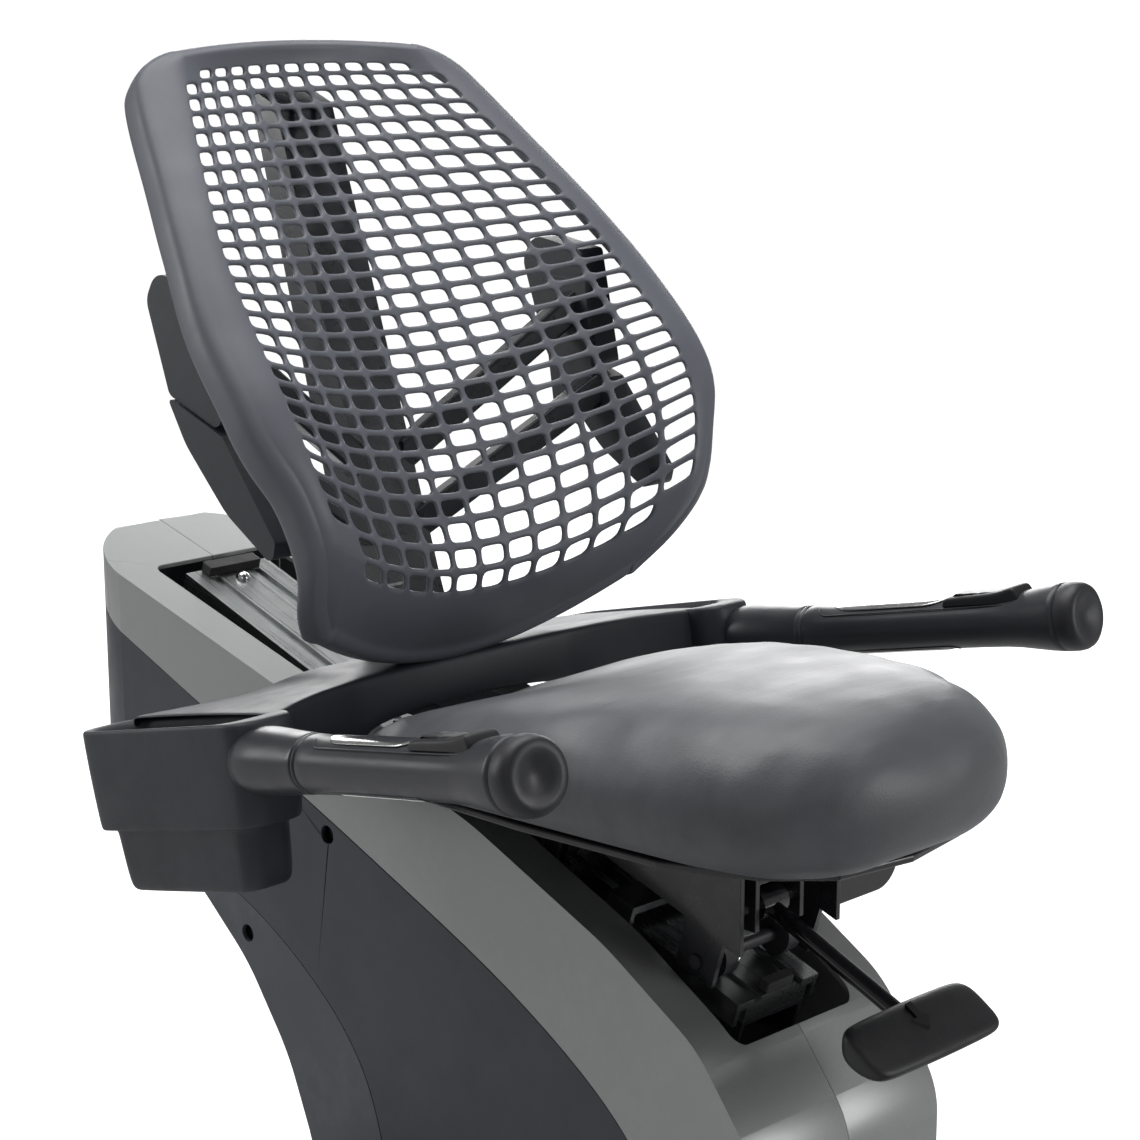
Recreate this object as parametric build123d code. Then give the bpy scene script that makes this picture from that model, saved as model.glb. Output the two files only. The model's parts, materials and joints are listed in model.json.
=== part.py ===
from build123d import *
import math
import os

# Recumbent exercise bike. Millimetres, +Z up, floor at Z = 0. The rider faces -Y and sits on X = 0.
# +X is the rider's left. The origin is on the floor under the middle of the whole bike.

# Overall places
HALF_LENGTH = 800
BASE_HALF_WIDTH = 320
FRONT_FOOT_Y = -713
REAR_FOOT_Y = 610
FOOT_TUBE = 50
FOOT_TUBE_Z = 44
PAD_HEIGHT = 19
WHEEL_RADIUS = 30
WHEEL_PIN_RADIUS = 5
WHEEL_SPOT = (-770, 31)

# Seat rail: a straight line in the middle plane, rising to the rear
RAIL_SLOPE = 17.3
RAIL_Y = 585
RAIL_Z = 541
RAIL_FRONT = -513
RAIL_REAR = 118

# Rear tower housing
TOWER_HALF = 92
WALL = 3.5
SEAM = 0.4
OPENING_HALF = 59
OPENING_FRONT_Y = 78
OPENING_REAR_Y = 716
SLOT_CLEARANCE = 32
SCREW_SPOTS = [(458, 428), (559, 323)]

# Seat
SEAT_HALF = 200
PAN_Z = 505
PAN_THICK = 6
CUSHION_Z = 512
POD_INNER = 206
POD_OUTER = 262
POD_TILT = -17
PIN_Y = 109
PIN_Z = 447
ROLLER_RADIUS = 15
ROLLER_LIFT = 0.4
FRONT_ROLLER = -478
REAR_ROLLER = -322
LOCK_AT = -400

# Backrest: the panel leans back, and its lower edge curls to the rear
# Row of holes, Y and Z at its ends, half its width, how far back and how far down its middle lies
BACK_SHAPE = [
    (-2.2, 586, 994, 105, 10, -6),
    (2, 562, 965, 121, 30, -1),
    (10, 467, 872, 167.5, 41, 7),
    (15, 418, 820, 179.5, 42, 20),
    (20, 371, 768, 185.5, 44, 34),
    (24, 347, 720, 180, 41, 46),
    (27, 342, 667, 164.5, 34, 46),
    (31, 369, 619, 167, 50, 63),
]
# Half the panel's whole width at some of the rows
BACK_EDGE = [(-2.2, 105), (-1, 140), (2, 163), (6, 186), (10, 206), (15, 224)]
BACK_EDGE += [(20, 228), (22, 222), (24, 208), (27, 192), (29, 180), (31, 160)]
BORDER_LEAN = 0.35
PANEL_THICK = 4.5
HOLE_ROWS = 27
HOLE_COLUMNS = 13
SPINE_HALF = 27
HOLE_HEIGHT = 8.5
WEB = 7.0
WING_INNER = 166
WING_OUTER = 190

# Side handles: the tube's axis runs from its root to its end
HANDLE_ROOT = (256, 352, 541)
HANDLE_TIP = (270.5, 46, 607)
GRIP_RADIUS = 18.5
TUBE_RADIUS = 12.5
COLLAR_START = 18
COLLAR_LENGTH = 54
SENSOR_START = 97
SENSOR_LENGTH = 100
KEY_POD_AT = 228
FLARE_START = 262
CAP_START = 296
CAP_RADIUS = 24.5
HANDLE_LENGTH = math.dist(HANDLE_ROOT, HANDLE_TIP)

# Drive
CRANK_Y = -473
CRANK_Z = 330
CRANK_ARM = 165
FLYWHEEL_Y = -655
FLYWHEEL_Z = 262
FLYWHEEL_RADIUS = 112
PULLEY_RADIUS = 98
SMALL_PULLEY_RADIUS = 14
BELT_THICK = 3
SHELL_HALF = 74
AXLE_RADIUS = 10
RUNNING_GAP = 0.05

BRAKE_PIN = (-770, 215.5)

# Mast and console
MAST_FOOT = (0, -600, 400)
MAST_TOP = (0, -560, 1130)
CONSOLE_PIVOT = (0, -560, 1168)
BAR_Y = -529
FRONT_BAR_Z = 985


def save(shape, name):
    """Writes one sub-part."""
    export_step(shape, f"parts/{name}.step")


def mirrored(shape):
    """The same piece on the rider's other side."""
    return mirror(shape, about=Plane.YZ)


def side_prism(points, low, high):
    """A closed outline in the YZ plane, pushed from X = low to X = high."""
    face = make_face(Polyline(*points, close=True))
    return extrude(Plane.YZ.offset(low) * face, high - low)


def smooth_prism(points, radii, low, high):
    """As side_prism, with each corner rounded by its own radius."""
    face = make_face(FilletPolyline(*points, radius=radii, close=True))
    return extrude(Plane.YZ.offset(low) * face, high - low)


def plan_prism(points, low, high):
    """A closed outline in plan, pushed from Z = low to Z = high."""
    face = make_face(Polyline(*points, close=True))
    return extrude(Plane.XY.offset(low) * face, high - low)


def rod(start, end, radius):
    """A round bar between two points."""
    along = Vector(*end) - Vector(*start)
    return extrude(Plane(start, z_dir=along) * Circle(radius), along.length)


def bar(start, end, width, height, corner):
    """A rectangular bar between two points, its width level."""
    along = Vector(*end) - Vector(*start)
    level = Vector(0, 0, 1).cross(along)
    section = RectangleRounded(width, height, corner)
    return extrude(Plane(start, x_dir=level, z_dir=along) * section, along.length)


def disc(centre, radius, low, high):
    """A round plate across X."""
    face = Plane((low, centre[0], centre[1]), x_dir=(0, 1, 0), z_dir=(1, 0, 0)) * Circle(radius)
    return extrude(face, high - low)


def on_rail(shape):
    """Takes a piece from rail coordinates (X, along, up from the rail's top) to the bike."""
    return Pos(0, RAIL_Y, RAIL_Z) * Rot(RAIL_SLOPE, 0, 0) * shape


def block(x, y, z, width, length, height):
    """A box by its middle."""
    return Pos(x, y, z) * Box(width, length, height)


# ---------------------------------------------------------------- base


def base_beam():
    outer = block(0, (FRONT_FOOT_Y + REAR_FOOT_Y) / 2, 59, 70, REAR_FOOT_Y - FRONT_FOOT_Y - FOOT_TUBE, 50)
    outer = fillet(outer.edges().filter_by(Axis.Y), 8)
    inner = block(0, (FRONT_FOOT_Y + REAR_FOOT_Y) / 2, 59, 64, 2 * HALF_LENGTH, 44)
    return outer - inner


def stabilizer(y):
    section = RectangleRounded(FOOT_TUBE, FOOT_TUBE, 14)
    section -= RectangleRounded(FOOT_TUBE - 5, FOOT_TUBE - 5, 11.5)
    half = BASE_HALF_WIDTH - 30
    return extrude(Plane((-half, y, FOOT_TUBE_Z), x_dir=(0, 1, 0), z_dir=(1, 0, 0)) * section, 2 * half)


def end_cap(x, y):
    """A plug-on end with a closed outer face, 30 long."""
    sign = math.copysign(1, x)
    start = x - sign * 30
    section = RectangleRounded(FOOT_TUBE + 8, FOOT_TUBE + 8, 16)
    cap = extrude(Plane((start, y, FOOT_TUBE_Z), x_dir=(0, 1, 0), z_dir=(sign, 0, 0)) * section, 30)
    return fillet(cap.faces().sort_by(Axis.X)[-1 if sign > 0 else 0].edges(), 7)


def levelling_foot(x, y):
    pad = Pos(x, y, 6) * Cylinder(22, 12)
    pad = chamfer(pad.edges().group_by(Axis.Z)[-1], 3)
    stud = Pos(x, y, 12 + (PAD_HEIGHT - 12) / 2) * Cylinder(5, PAD_HEIGHT - 12)
    return pad + stud


def transport_wheel(x):
    wheel = disc(WHEEL_SPOT, WHEEL_RADIUS, x - 12, x + 12)
    wheel = fillet(wheel.edges(), 4)
    return wheel - disc(WHEEL_SPOT, WHEEL_PIN_RADIUS + RUNNING_GAP, x - 13, x + 13)


def wheel_bracket(x):
    """Two cheeks welded to the front stabiliser, and the wheel's pin."""
    y, z = WHEEL_SPOT
    bracket = disc(WHEEL_SPOT, WHEEL_PIN_RADIUS, x - 15.5, x + 15.5)
    for inner in (x - 15.5, x + 12.5):
        ear = [(y + 34, 30), (y + 34, 62), (y - 8, z + 12), (y - 12, z), (y - 4, z - 10)]
        bracket += side_prism(ear, inner, inner + 3)
    return bracket


# ---------------------------------------------------------------- rear tower


def tower_outline(inset):
    """The tower's side outline, moved inwards, as corner points and radii."""
    points = [(800, 603), (300, 476), (168, 424), (84, 377), (31, 312), (31, 230), (62, 86), (468, 86)]
    points += [(482, 170), (512, 238), (560, 300), (630, 354), (800, 443)]
    radii = [10, 240, 240, 90, 60, 160, 4, 4, 160, 160, 160, 300, 34]
    face = make_face(FilletPolyline(*points, radius=radii, close=True))
    return offset(face, -inset) if inset else face


def tower_plan(half, rear):
    """Plan outline with a bowed rear end."""
    edge = Polyline((-half, 700), (-half, -20), (half, -20), (half, 700))
    bow = ThreePointArc((half, 700), (0, rear), (-half, 700))
    return extrude(make_face(edge + bow), 700)


def tower_solid(inset):
    half = TOWER_HALF - inset
    body = extrude(Plane.YZ.offset(-half) * tower_outline(inset), 2 * half)
    return body & tower_plan(half, 800 - inset)


def tower_opening():
    """The long slot in the top that the carriage runs along."""
    slot = RectangleRounded(2 * OPENING_HALF, OPENING_REAR_Y - OPENING_FRONT_Y, 10)
    return Pos(0, (OPENING_REAR_Y + OPENING_FRONT_Y) / 2, 330) * extrude(slot, 400)


def curved_region(points, rest):
    """A block across the housing, bounded by a smooth curve through the points and by straight lines."""
    edge = Spline(*points) + Polyline(points[-1], *rest, points[0])
    return extrude(Plane.YZ.offset(-120) * make_face(edge), 240)


def upper_region(gap):
    """Everything above the line between the pale top shell and the dark side panels."""
    line = [(840, 577), (736, 541), (623, 500), (473, 447), (363, 406), (282, 374), (202, 334), (138, 285)]
    line += [(105, 230), (92, 170), (90, 60)]
    points = [(y, z + gap) for y, z in line]
    return curved_region(points, [(-60, 60), (-60, 700), (840, 700)])


def fin_region(gap):
    """Everything behind the front edge of the curved rear fin."""
    line = [(392, 60), (392, 150), (402, 206), (421, 252), (479, 308), (559, 349), (640, 372)]
    points = [(y + gap, z) for y, z in line]
    return curved_region(points, [(900, 372), (900, 60)])


def left_half():
    return block(SEAM / 2 + 100, 400, 350, 200, 1000, 800)


def tower_parts():
    """The hollow housing, cut along its seams into its separate mouldings."""
    hollow = tower_solid(0) - tower_solid(WALL) - tower_opening()
    hollow -= block(0, 265, 80, 2 * TOWER_HALF - 2 * WALL, 396, 20)
    upper = (hollow & upper_region(SEAM)) & left_half()
    lower = (hollow - upper_region(-SEAM)) & left_half()
    panel = lower - fin_region(-SEAM)
    fin = lower & fin_region(SEAM)
    for y, z in SCREW_SPOTS:
        panel -= disc((y, z), 7, 80, 100)
        fin -= disc((y, z), 7, 80, 100)
    rear = upper & plan_prism([(0, 900), (0, 690), (27, 690), (60, 722), (120, 760), (120, 900)], 0, 700)
    rear_edge = [(0, 900), (0, 689.4), (27.2, 689.4), (60.4, 721.4), (120, 759), (120, 900)]
    upper -= plan_prism(rear_edge, 0, 700)
    return upper, panel, fin, rear


def tower_screws():
    screws = []
    for y, z in SCREW_SPOTS + [(250, 180), (150, 180)]:
        for side in (-1, 1):
            head = disc((y, z), 5.5, TOWER_HALF - 14, TOWER_HALF - 6)
            screws.append(head if side > 0 else mirrored(head))
    return Compound(children=screws)


def tower_frame():
    """Two steel posts and the shelf that carries the rail."""
    shelf = on_rail(block(0, (RAIL_FRONT + RAIL_REAR) / 2, -33, 60, RAIL_REAR - RAIL_FRONT, 30))
    shelf = shelf - on_rail(block(0, (RAIL_FRONT + RAIL_REAR) / 2, -33, 54, 2 * HALF_LENGTH, 24))
    posts = block(0, 190, 220, 60, 60, 272) + block(0, 420, 260, 60, 60, 352)
    under = on_rail(block(0, -200, -33 + 500, 200, 1000, 1030 - 60))
    return (posts - under) + shelf


def seat_rail():
    """Stepped aluminium extrusion."""
    half = [(0, 0), (17, 0), (17, -3), (24, -3), (24, 0), (40, 0), (40, -18), (36, -18), (36, -6), (0, -6)]
    outline = half + [(-x, z) for x, z in reversed(half[1:-1])]
    face = make_face(Polyline(*outline, close=True))
    length = RAIL_REAR - RAIL_FRONT
    profile = extrude(Plane((0, RAIL_REAR, 0), x_dir=(1, 0, 0), z_dir=(0, -1, 0)) * face, length)
    feet = block(0, (RAIL_FRONT + RAIL_REAR) / 2, -12, 60, length, 12)
    return on_rail(profile + feet)


def rail_scale():
    length = 240
    return on_rail(block(-52.5, RAIL_FRONT + 14 + length / 2, -18, 12, length, 2))


def rail_screws():
    screws = []
    for place in (-470, -235, 0, 95):
        head = Pos(0, place, 0) * Sphere(6)
        screws.append(on_rail(head & block(0, place, 3, 20, 20, 6)))
    return Compound(children=screws)


def rail_end_stops():
    front = block(0, RAIL_FRONT + 4, 4, 26, 8, 8)
    rear = block(0, RAIL_REAR - 6, 4, 50, 12, 8)
    return Compound(children=[on_rail(front), on_rail(rear)])


def step_cover():
    """Low moulding over the beam in the step-through gap."""
    outer = smooth_prism([(-298, 86), (-298, 118), (-4, 118), (26, 86)], [3, 14, 14, 3], -60, 60)
    inner = smooth_prism([(-295, 80), (-295, 115), (-7, 115), (20, 80)], [3, 11, 11, 3], -57, 57)
    return outer - inner


# ---------------------------------------------------------------- seat carriage


def carriage_bracket():
    """Two side plates joined by a top plate, with ears for the rollers."""
    plates = []
    for low in (-50, 46):
        points = [(86, 427), (300, 493.5), (300, PAN_Z), (86, PAN_Z)]
        plate = side_prism(points, low, low + 4)
        for along in (FRONT_ROLLER, REAR_ROLLER):
            ear = Pos(low + 2, along, 27) * Box(4, 34, 46)
            plate += on_rail(ear)
        plates.append(plate)
    top = block(0, 193, PAN_Z - 2, 92, 214, 4)
    shape = plates[0] + plates[1] + top
    for along in (FRONT_ROLLER, REAR_ROLLER):
        height = ROLLER_RADIUS + ROLLER_LIFT
        shape -= on_rail(Pos(0, along, height) * Rot(0, 90, 0) * Cylinder(5 + RUNNING_GAP, 120))
    return shape


def roller_axle(along):
    """Two rollers on one axle that spans the carriage."""
    middle = Pos(0, along, ROLLER_RADIUS + ROLLER_LIFT)
    axle = middle * Rot(0, 90, 0) * Cylinder(5, 104)
    wheels = axle
    for x in (-31, 31):
        wheels += Pos(x, 0, 0) * middle * Rot(0, 90, 0) * Cylinder(ROLLER_RADIUS, 12)
    return on_rail(wheels)


def lever_clevis():
    """Two ears under the seat pan that hold the lever's cross pin."""
    ears = []
    for low in (-24, 20):
        ear = side_prism([(96, 434), (122, 434), (122, PAN_Z - 4), (96, PAN_Z - 4)], low, low + 4)
        ears.append(ear - disc((PIN_Y, PIN_Z), 5, -30, 30))
    return ears[0] + ears[1]


def lock_shoe():
    """Clamp with two hooks under the rail's edges. Its stem runs in a guide on the carriage."""
    shoe = block(0, LOCK_AT, 11, 90, 24, 6) + block(0, LOCK_AT, 31, 10, 20, 38)
    for side in (-1, 1):
        shoe += block(side * 43, LOCK_AT, -4, 4, 24, 36)
        shoe += block(side * 40, LOCK_AT, -20.3, 10, 24, 4)
    return on_rail(shoe)


def lock_guide():
    """Square sleeve around the clamp's stem, hung from the carriage's top plate."""
    sleeve = on_rail(block(0, LOCK_AT, 32, 20, 30, 24) - block(0, LOCK_AT, 32, 10.4, 20.4, 40))
    for low in (-50, 10):
        sleeve += on_rail(block(low + 20, LOCK_AT, 41, 40, 30, 4))
    return sleeve


def hook_plate():
    """Flat plate on the rider's left of the clevis, with a round notch."""
    points = [(104, 427), (104, PAN_Z - 1), (110, PAN_Z - 1), (110, 427)]
    plate = side_prism(points, 54, 133)
    notch = Pos(80, 107, 470) * Rot(90, 0, 0) * Cylinder(16, 20)
    corner = plate.edges().filter_by(Axis.Y).sort_by(lambda e: e.center().X - e.center().Z)[-1]
    return fillet(corner, 22) - notch - block(80, 107, 490, 32, 20, 40)


def pull_lever():
    """Rod from the cross pin to the handle, with a boss around the pin."""
    boss = disc((PIN_Y, PIN_Z), 11, -12, 12)
    shaft = rod((0, PIN_Y - 3, PIN_Z - 1.5), (0, -4, 403), 6)
    tail = rod((0, PIN_Y, PIN_Z), (0, 196, 481), 5)
    pin = disc((PIN_Y, PIN_Z), 5, -26, 26)
    return (boss + shaft + tail) - disc((PIN_Y, PIN_Z), 5 + RUNNING_GAP, -30, 30), pin


def lever_handle():
    """T-shaped grip, rounded at its ends and falling to the front."""
    points = [(-5, 413), (-5, 391), (-22, 383), (-48, 384), (-51, 392)]
    grip = smooth_prism(points, [4, 6, 6, 4, 2], -62.5, 62.5)
    plan = Pos(0, -26, 0) * extrude(RectangleRounded(125, 50, 12), 600)
    return (grip & plan) - rod((0, 40, 420), (0, -18, 398), 6)


# ---------------------------------------------------------------- seat


def seat_pan():
    plan = Pos(0, 172, PAN_Z) * extrude(RectangleRounded(300, 400, 40), PAN_THICK)
    top = PAN_Z + PAN_THICK
    rear = side_prism([(366, PAN_Z), (440, PAN_Z), (440, top), (366, top)], -45, 45)
    return plan + rear


def cushion():
    """Simple closed solid of the cushion's size: dished, wide in the middle, narrow behind."""
    profile = [(-77, 560), (-62, 588), (-15, 602), (60, 604), (150, 594), (285, 575), (392, 540)]
    profile += [(392, CUSHION_Z), (280, CUSHION_Z), (-45, CUSHION_Z)]
    body = side_prism(profile, -SEAT_HALF, SEAT_HALF)
    points = [(0, -77), (110, -62), (182, 10), (SEAT_HALF, 130), (194, 280), (148, 366), (60, 392), (0, 392)]
    plan = Spline(*points, tangents=[(1, 0), (-1, 0)])
    outline = plan + mirrored(plan)
    return body & extrude(Plane.XY.offset(500) * make_face(outline), 140)


def bridge_plan():
    """The bridge seen from above: its front edge curves forward to meet the pods."""
    front = Spline((-POD_INNER, 346), (-150, 398), (0, 418), (150, 398), (POD_INNER, 346))
    back = Polyline((POD_INNER, 346), (POD_INNER, 560), (-POD_INNER, 560), (-POD_INNER, 346))
    return make_face(front + back)


def bridge():
    """Hollow moulding behind the cushion that joins the two pods."""
    points = [(330, 518), (330, 566), (400, 558), (436, 554), (470, 554), (528, 524), (528, 516), (460, 518)]
    outer = side_prism(points, -POD_INNER, POD_INNER) & extrude(bridge_plan(), 700)
    shape = outer - Pos(0, 7, -4) * outer
    shape -= block(0, 505, 540, 2 * SPINE_HALF + 8, 160, 120)
    shape -= block(0, 440, 515, 2 * SPINE_HALF + 8, 100, 34)
    return shape - on_rail(block(0, -200, 0, 196, 800, 2 * SLOT_CLEARANCE))


def pod_outline(inset, length_low, length_high):
    """Plan outline of a pod: long slot shape between two ends, in its own tilted frame."""
    width = POD_OUTER - POD_INNER - 2 * inset
    middle = (length_low + length_high) / 2
    rounded = RectangleRounded(width, length_high - length_low - 2 * inset, width / 2 - 0.5)
    return Pos((POD_INNER + POD_OUTER) / 2, middle, 0) * rounded


def pod():
    """Side pod with an open pocket on top and a narrower cup below, tilted down to the rear."""
    upper = Pos(0, 0, -72) * extrude(pod_outline(0, 0, 205), 72)
    lower = Pos(0, 0, -118) * extrude(pod_outline(5, 22, 184), 60)
    pocket = Pos(0, 0, -112) * extrude(pod_outline(9, 38, 184), 130)
    shape = Pos(0, 332, 591) * Rot(POD_TILT, 0, 0) * ((upper + lower) - pocket)
    return shape - rod(HANDLE_TIP, HANDLE_ROOT, TUBE_RADIUS + 0.01)


# ---------------------------------------------------------------- side handles


def handle_point(distance):
    """A point on the left handle's axis, measured from its root."""
    along = (Vector(*HANDLE_TIP) - Vector(*HANDLE_ROOT)).normalized()
    return tuple(Vector(*HANDLE_ROOT) + along * distance)


def handle_plane(distance):
    """Plane across the left handle, its local Y pointing up."""
    along = (Vector(*HANDLE_TIP) - Vector(*HANDLE_ROOT)).normalized()
    level = Vector(0, 0, 1).cross(along)
    return Plane(handle_point(distance), x_dir=level, z_dir=along)


def handle_tube():
    return extrude(handle_plane(2) * (Circle(TUBE_RADIUS) - Circle(TUBE_RADIUS - 2)), HANDLE_LENGTH - 14)


def handle_bore(start, length):
    return extrude(handle_plane(start) * Circle(TUBE_RADIUS), length)


def collar():
    """Cone that leaves the pod, then a plain ring up to the grip."""
    ring_start = COLLAR_START + COLLAR_LENGTH - 14
    cone = loft([handle_plane(COLLAR_START) * Circle(24), handle_plane(ring_start) * Circle(20.5)])
    ring = extrude(handle_plane(ring_start) * Circle(20), 14)
    return (cone + ring) - handle_bore(0, 100) - pod_block()


def pod_block():
    """The pod's outer shape, to trim what meets it."""
    upper = Pos(0, 0, -72) * extrude(pod_outline(0, 0, 205), 72)
    return Pos(0, 332, 591) * Rot(POD_TILT, 0, 0) * upper


def grip():
    """Sleeve from the collar to the end cap, with recesses for the pulse plates and the key pod."""
    start = COLLAR_START + COLLAR_LENGTH
    body = extrude(handle_plane(start) * Circle(GRIP_RADIUS), FLARE_START - start)
    small = handle_plane(FLARE_START) * Circle(GRIP_RADIUS)
    flare = loft([small, handle_plane(CAP_START) * Circle(CAP_RADIUS)])
    shape = (body + flare) - handle_bore(0, 320)
    for side in (1, -1):
        recess = Pos(0, side * (GRIP_RADIUS + 1), 0) * Box(26, 8, SENSOR_LENGTH + 0.6)
        shape -= handle_plane(SENSOR_START + SENSOR_LENGTH / 2) * recess
    shape -= handle_plane(KEY_POD_AT) * Pos(0, GRIP_RADIUS - 2, 0) * Box(26.4, 12, 56.4)
    return shape


def sensor(side):
    """Curved steel pulse plate let into the grip, above or below."""
    section = Circle(GRIP_RADIUS) - Circle(GRIP_RADIUS - 2.2)
    ring = extrude(handle_plane(SENSOR_START) * section, SENSOR_LENGTH)
    window = handle_plane(SENSOR_START + SENSOR_LENGTH / 2) * Pos(0, side * (GRIP_RADIUS + 1), 0) * Box(
        25.4, 7.4, SENSOR_LENGTH)
    return ring & window


def key_pod():
    """Small control pod on top of the grip, with pockets for two keys."""
    body = handle_plane(KEY_POD_AT) * Pos(0, GRIP_RADIUS - 1, 0) * Box(26, 9.6, 56)
    body = body - handle_bore(0, 320)
    well = handle_plane(KEY_POD_AT) * Pos(0, GRIP_RADIUS + 3, 0)
    return body - well * Box(18, 4.4, 43.4)


def rocker_key():
    """Rocker with a raised pad at each end, turning on a pin across the pod."""
    place = handle_plane(KEY_POD_AT)
    body = place * Pos(0, GRIP_RADIUS + 3.4, 0) * Box(17, 3, 42)
    for side in (-1, 1):
        body += place * Pos(0, GRIP_RADIUS + 5.4, side * 12.5) * Box(17, 1.6, 17)
    return body + place * Pos(0, GRIP_RADIUS + 1.6, 0) * Box(17, 1.2, 5)


def grip_cap():
    """Round end cap with a shallow dish."""
    cap = extrude(handle_plane(CAP_START + 0.3) * Circle(CAP_RADIUS), HANDLE_LENGTH - CAP_START - 4)
    cap = fillet(cap.edges().sort_by(Axis.Y)[0], 5)
    dish = Pos(*handle_point(HANDLE_LENGTH + 38)) * Sphere(45)
    return cap - dish - handle_bore(0, HANDLE_LENGTH - 10)


# ---------------------------------------------------------------- backrest


def panel_value(row, column):
    """A value of BACK_SHAPE, read straight between the rows that it gives."""
    for lower, upper in zip(BACK_SHAPE, BACK_SHAPE[1:]):
        if row <= upper[0]:
            share = (row - lower[0]) / (upper[0] - lower[0])
            return lower[column] + (upper[column] - lower[column]) * share
    return BACK_SHAPE[-1][column]


def panel_point(row, x):
    """A point on the dished sheet that the holes are in."""
    half = panel_value(row, 3)
    depth = max(0, 1 - (x / half) ** 2)
    y = panel_value(row, 1) + panel_value(row, 4) * depth + BORDER_LEAN * max(0, abs(x) - half)
    z = panel_value(row, 2) - panel_value(row, 5) * depth
    return Vector(x, y, z)


def panel_sheet():
    """Smooth dished sheet through the rows, as wide as the panel at each of them."""
    grid = []
    for row, half in BACK_EDGE:
        grid.append([panel_point(row, quarter / 4 * half) for quarter in range(-4, 5)])
    return Face.make_surface_from_array_of_points(grid, tol=0.6, min_deg=3, max_deg=3)


def panel_hole(row, column, columns):
    """Cutter for one slot, square to the sheet."""
    pitch = (2 * panel_value(max(row, 2), 3) + WEB) / HOLE_COLUMNS
    x = (column - (columns - 1) / 2) * pitch
    across = panel_point(row, x + 2) - panel_point(row, x - 2)
    upward = panel_point(row - 0.3, x) - panel_point(row + 0.3, x)
    place = Plane(panel_point(row, x), x_dir=across, z_dir=across.cross(upward))
    return place * Box(pitch - WEB, HOLE_HEIGHT, 30)


def backrest_panel():
    cutters = []
    for row in range(1, HOLE_ROWS + 1):
        columns = 11 if row in (1, HOLE_ROWS) else HOLE_COLUMNS
        for column in range(columns):
            cutters.append(panel_hole(row, column, columns))
    return Solid.thicken(panel_sheet(), PANEL_THICK) - cutters


def back_spine():
    """Box spine bolted on the seat pan's tongue, then up behind the panel to its top."""
    points = [(396, 511.2), (396, 524), (436, 528), (465, 604), (583, 950)]
    points += [(614, 962), (510, 596), (478, 530)]
    points += [(444, 511.2)]
    return smooth_prism(points, [1, 3, 20, 60, 3, 3, 60, 30, 1], -SPINE_HALF, SPINE_HALF)


def back_arm():
    """Two parallel bars from the spine out to the left wing."""
    upper = bar((20, 502, 690), (170, 462, 800), 16, 22, 3)
    lower = bar((20, 486, 640), (170, 440, 735), 16, 22, 3)
    bars = (upper + lower) & block(92, 480, 700, 2 * (WING_INNER - 92), 400, 400)
    return bars + side_prism([(434, 715), (480, 715), (496, 815), (446, 815)], WING_INNER - 6, WING_INNER)


def wing_upper():
    points = [(457, 838), (510, 846), (522, 826), (498, 762), (436, 742)]
    return smooth_prism(points, [4, 16, 14, 8, 8], WING_INNER + 0.2, WING_OUTER)


def wing_lower():
    points = [(436, 741), (498, 761), (478, 730), (434, 688), (384, 660), (380, 676)]
    return smooth_prism(points, [2, 2, 60, 60, 6, 6], WING_INNER + 0.2, WING_OUTER + 2)


# ---------------------------------------------------------------- drive and front


def front_outline(inset):
    points = [(-310, 86), (-775, 86), (-790, 300), (-742, 468), (-640, 560)]
    points += [(-560, 566), (-400, 510), (-303, 400)]
    points += [(-292, 250)]
    radii = [30, 30, 150, 150, 90, 90, 140, 120, 100]
    face = make_face(FilletPolyline(*points, radius=radii, close=True))
    return offset(face, -inset) if inset else face


def front_shell():
    """Left half of the front shroud, with holes for the crank axle and the mast."""
    outer = extrude(Plane.YZ * front_outline(0), SHELL_HALF)
    outer = fillet(outer.faces().sort_by(Axis.X)[-1].edges(), 8)
    inner = extrude(Plane.YZ * front_outline(WALL), SHELL_HALF - WALL)
    shape = outer - inner
    shape -= disc((CRANK_Y, CRANK_Z), 20, -1, SHELL_HALF + 5)
    shape -= rod((0, -603, 340), (0, -558, 1160), 34)
    shape -= block(0, -540, 86, 2 * (SHELL_HALF - WALL), 400, 20)
    return shape & left_half_front()


def left_half_front():
    return block(SEAM / 2 + 100, -500, 350, 200, 1000, 800)


def drive_frame():
    """Two steel plates that carry the axles, and the socket for the mast."""
    plates = []
    for low in (-50, 46):
        points = [(-690, 85), (-390, 85), (-430, 380), (-560, 500), (-640, 500), (-690, 320)]
        plate = side_prism(points, low, low + 4)
        plate -= disc((CRANK_Y, CRANK_Z), 22, -60, 60)
        plates.append(plate)
    socket = block(0, -598, 470, 92, 60, 50) - rod((0, -603, 340), (0, -558, 1160), 25.4)
    y, z = BRAKE_PIN
    brake_post = side_prism([(-695, z - 35), (y - 8, z - 12), (y - 8, z + 12), (-695, z + 35)], -50, -46)
    brake_post += disc(BRAKE_PIN, 4, -50, 6)
    flywheel_axle = disc((FLYWHEEL_Y, FLYWHEEL_Z), 8, -54, 54)
    return plates[0] + plates[1] + socket + brake_post + flywheel_axle


def crank_bearings():
    rings = []
    for low in (-54, 42):
        ring = disc((CRANK_Y, CRANK_Z), 22, low, low + 12)
        rings.append(ring - disc((CRANK_Y, CRANK_Z), AXLE_RADIUS + RUNNING_GAP, -60, 60))
    return Compound(children=rings)


def crank_axle():
    return disc((CRANK_Y, CRANK_Z), AXLE_RADIUS, -98, 98)


def drive_pulley():
    pulley = disc((CRANK_Y, CRANK_Z), PULLEY_RADIUS, 22, 38)
    pulley -= disc((CRANK_Y, CRANK_Z), AXLE_RADIUS, 20, 40)
    for turn in range(6):
        angle = math.radians(60 * turn)
        spot = (CRANK_Y + 56 * math.cos(angle), CRANK_Z + 56 * math.sin(angle))
        pulley -= disc(spot, 20, 20, 40)
    return pulley


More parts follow.
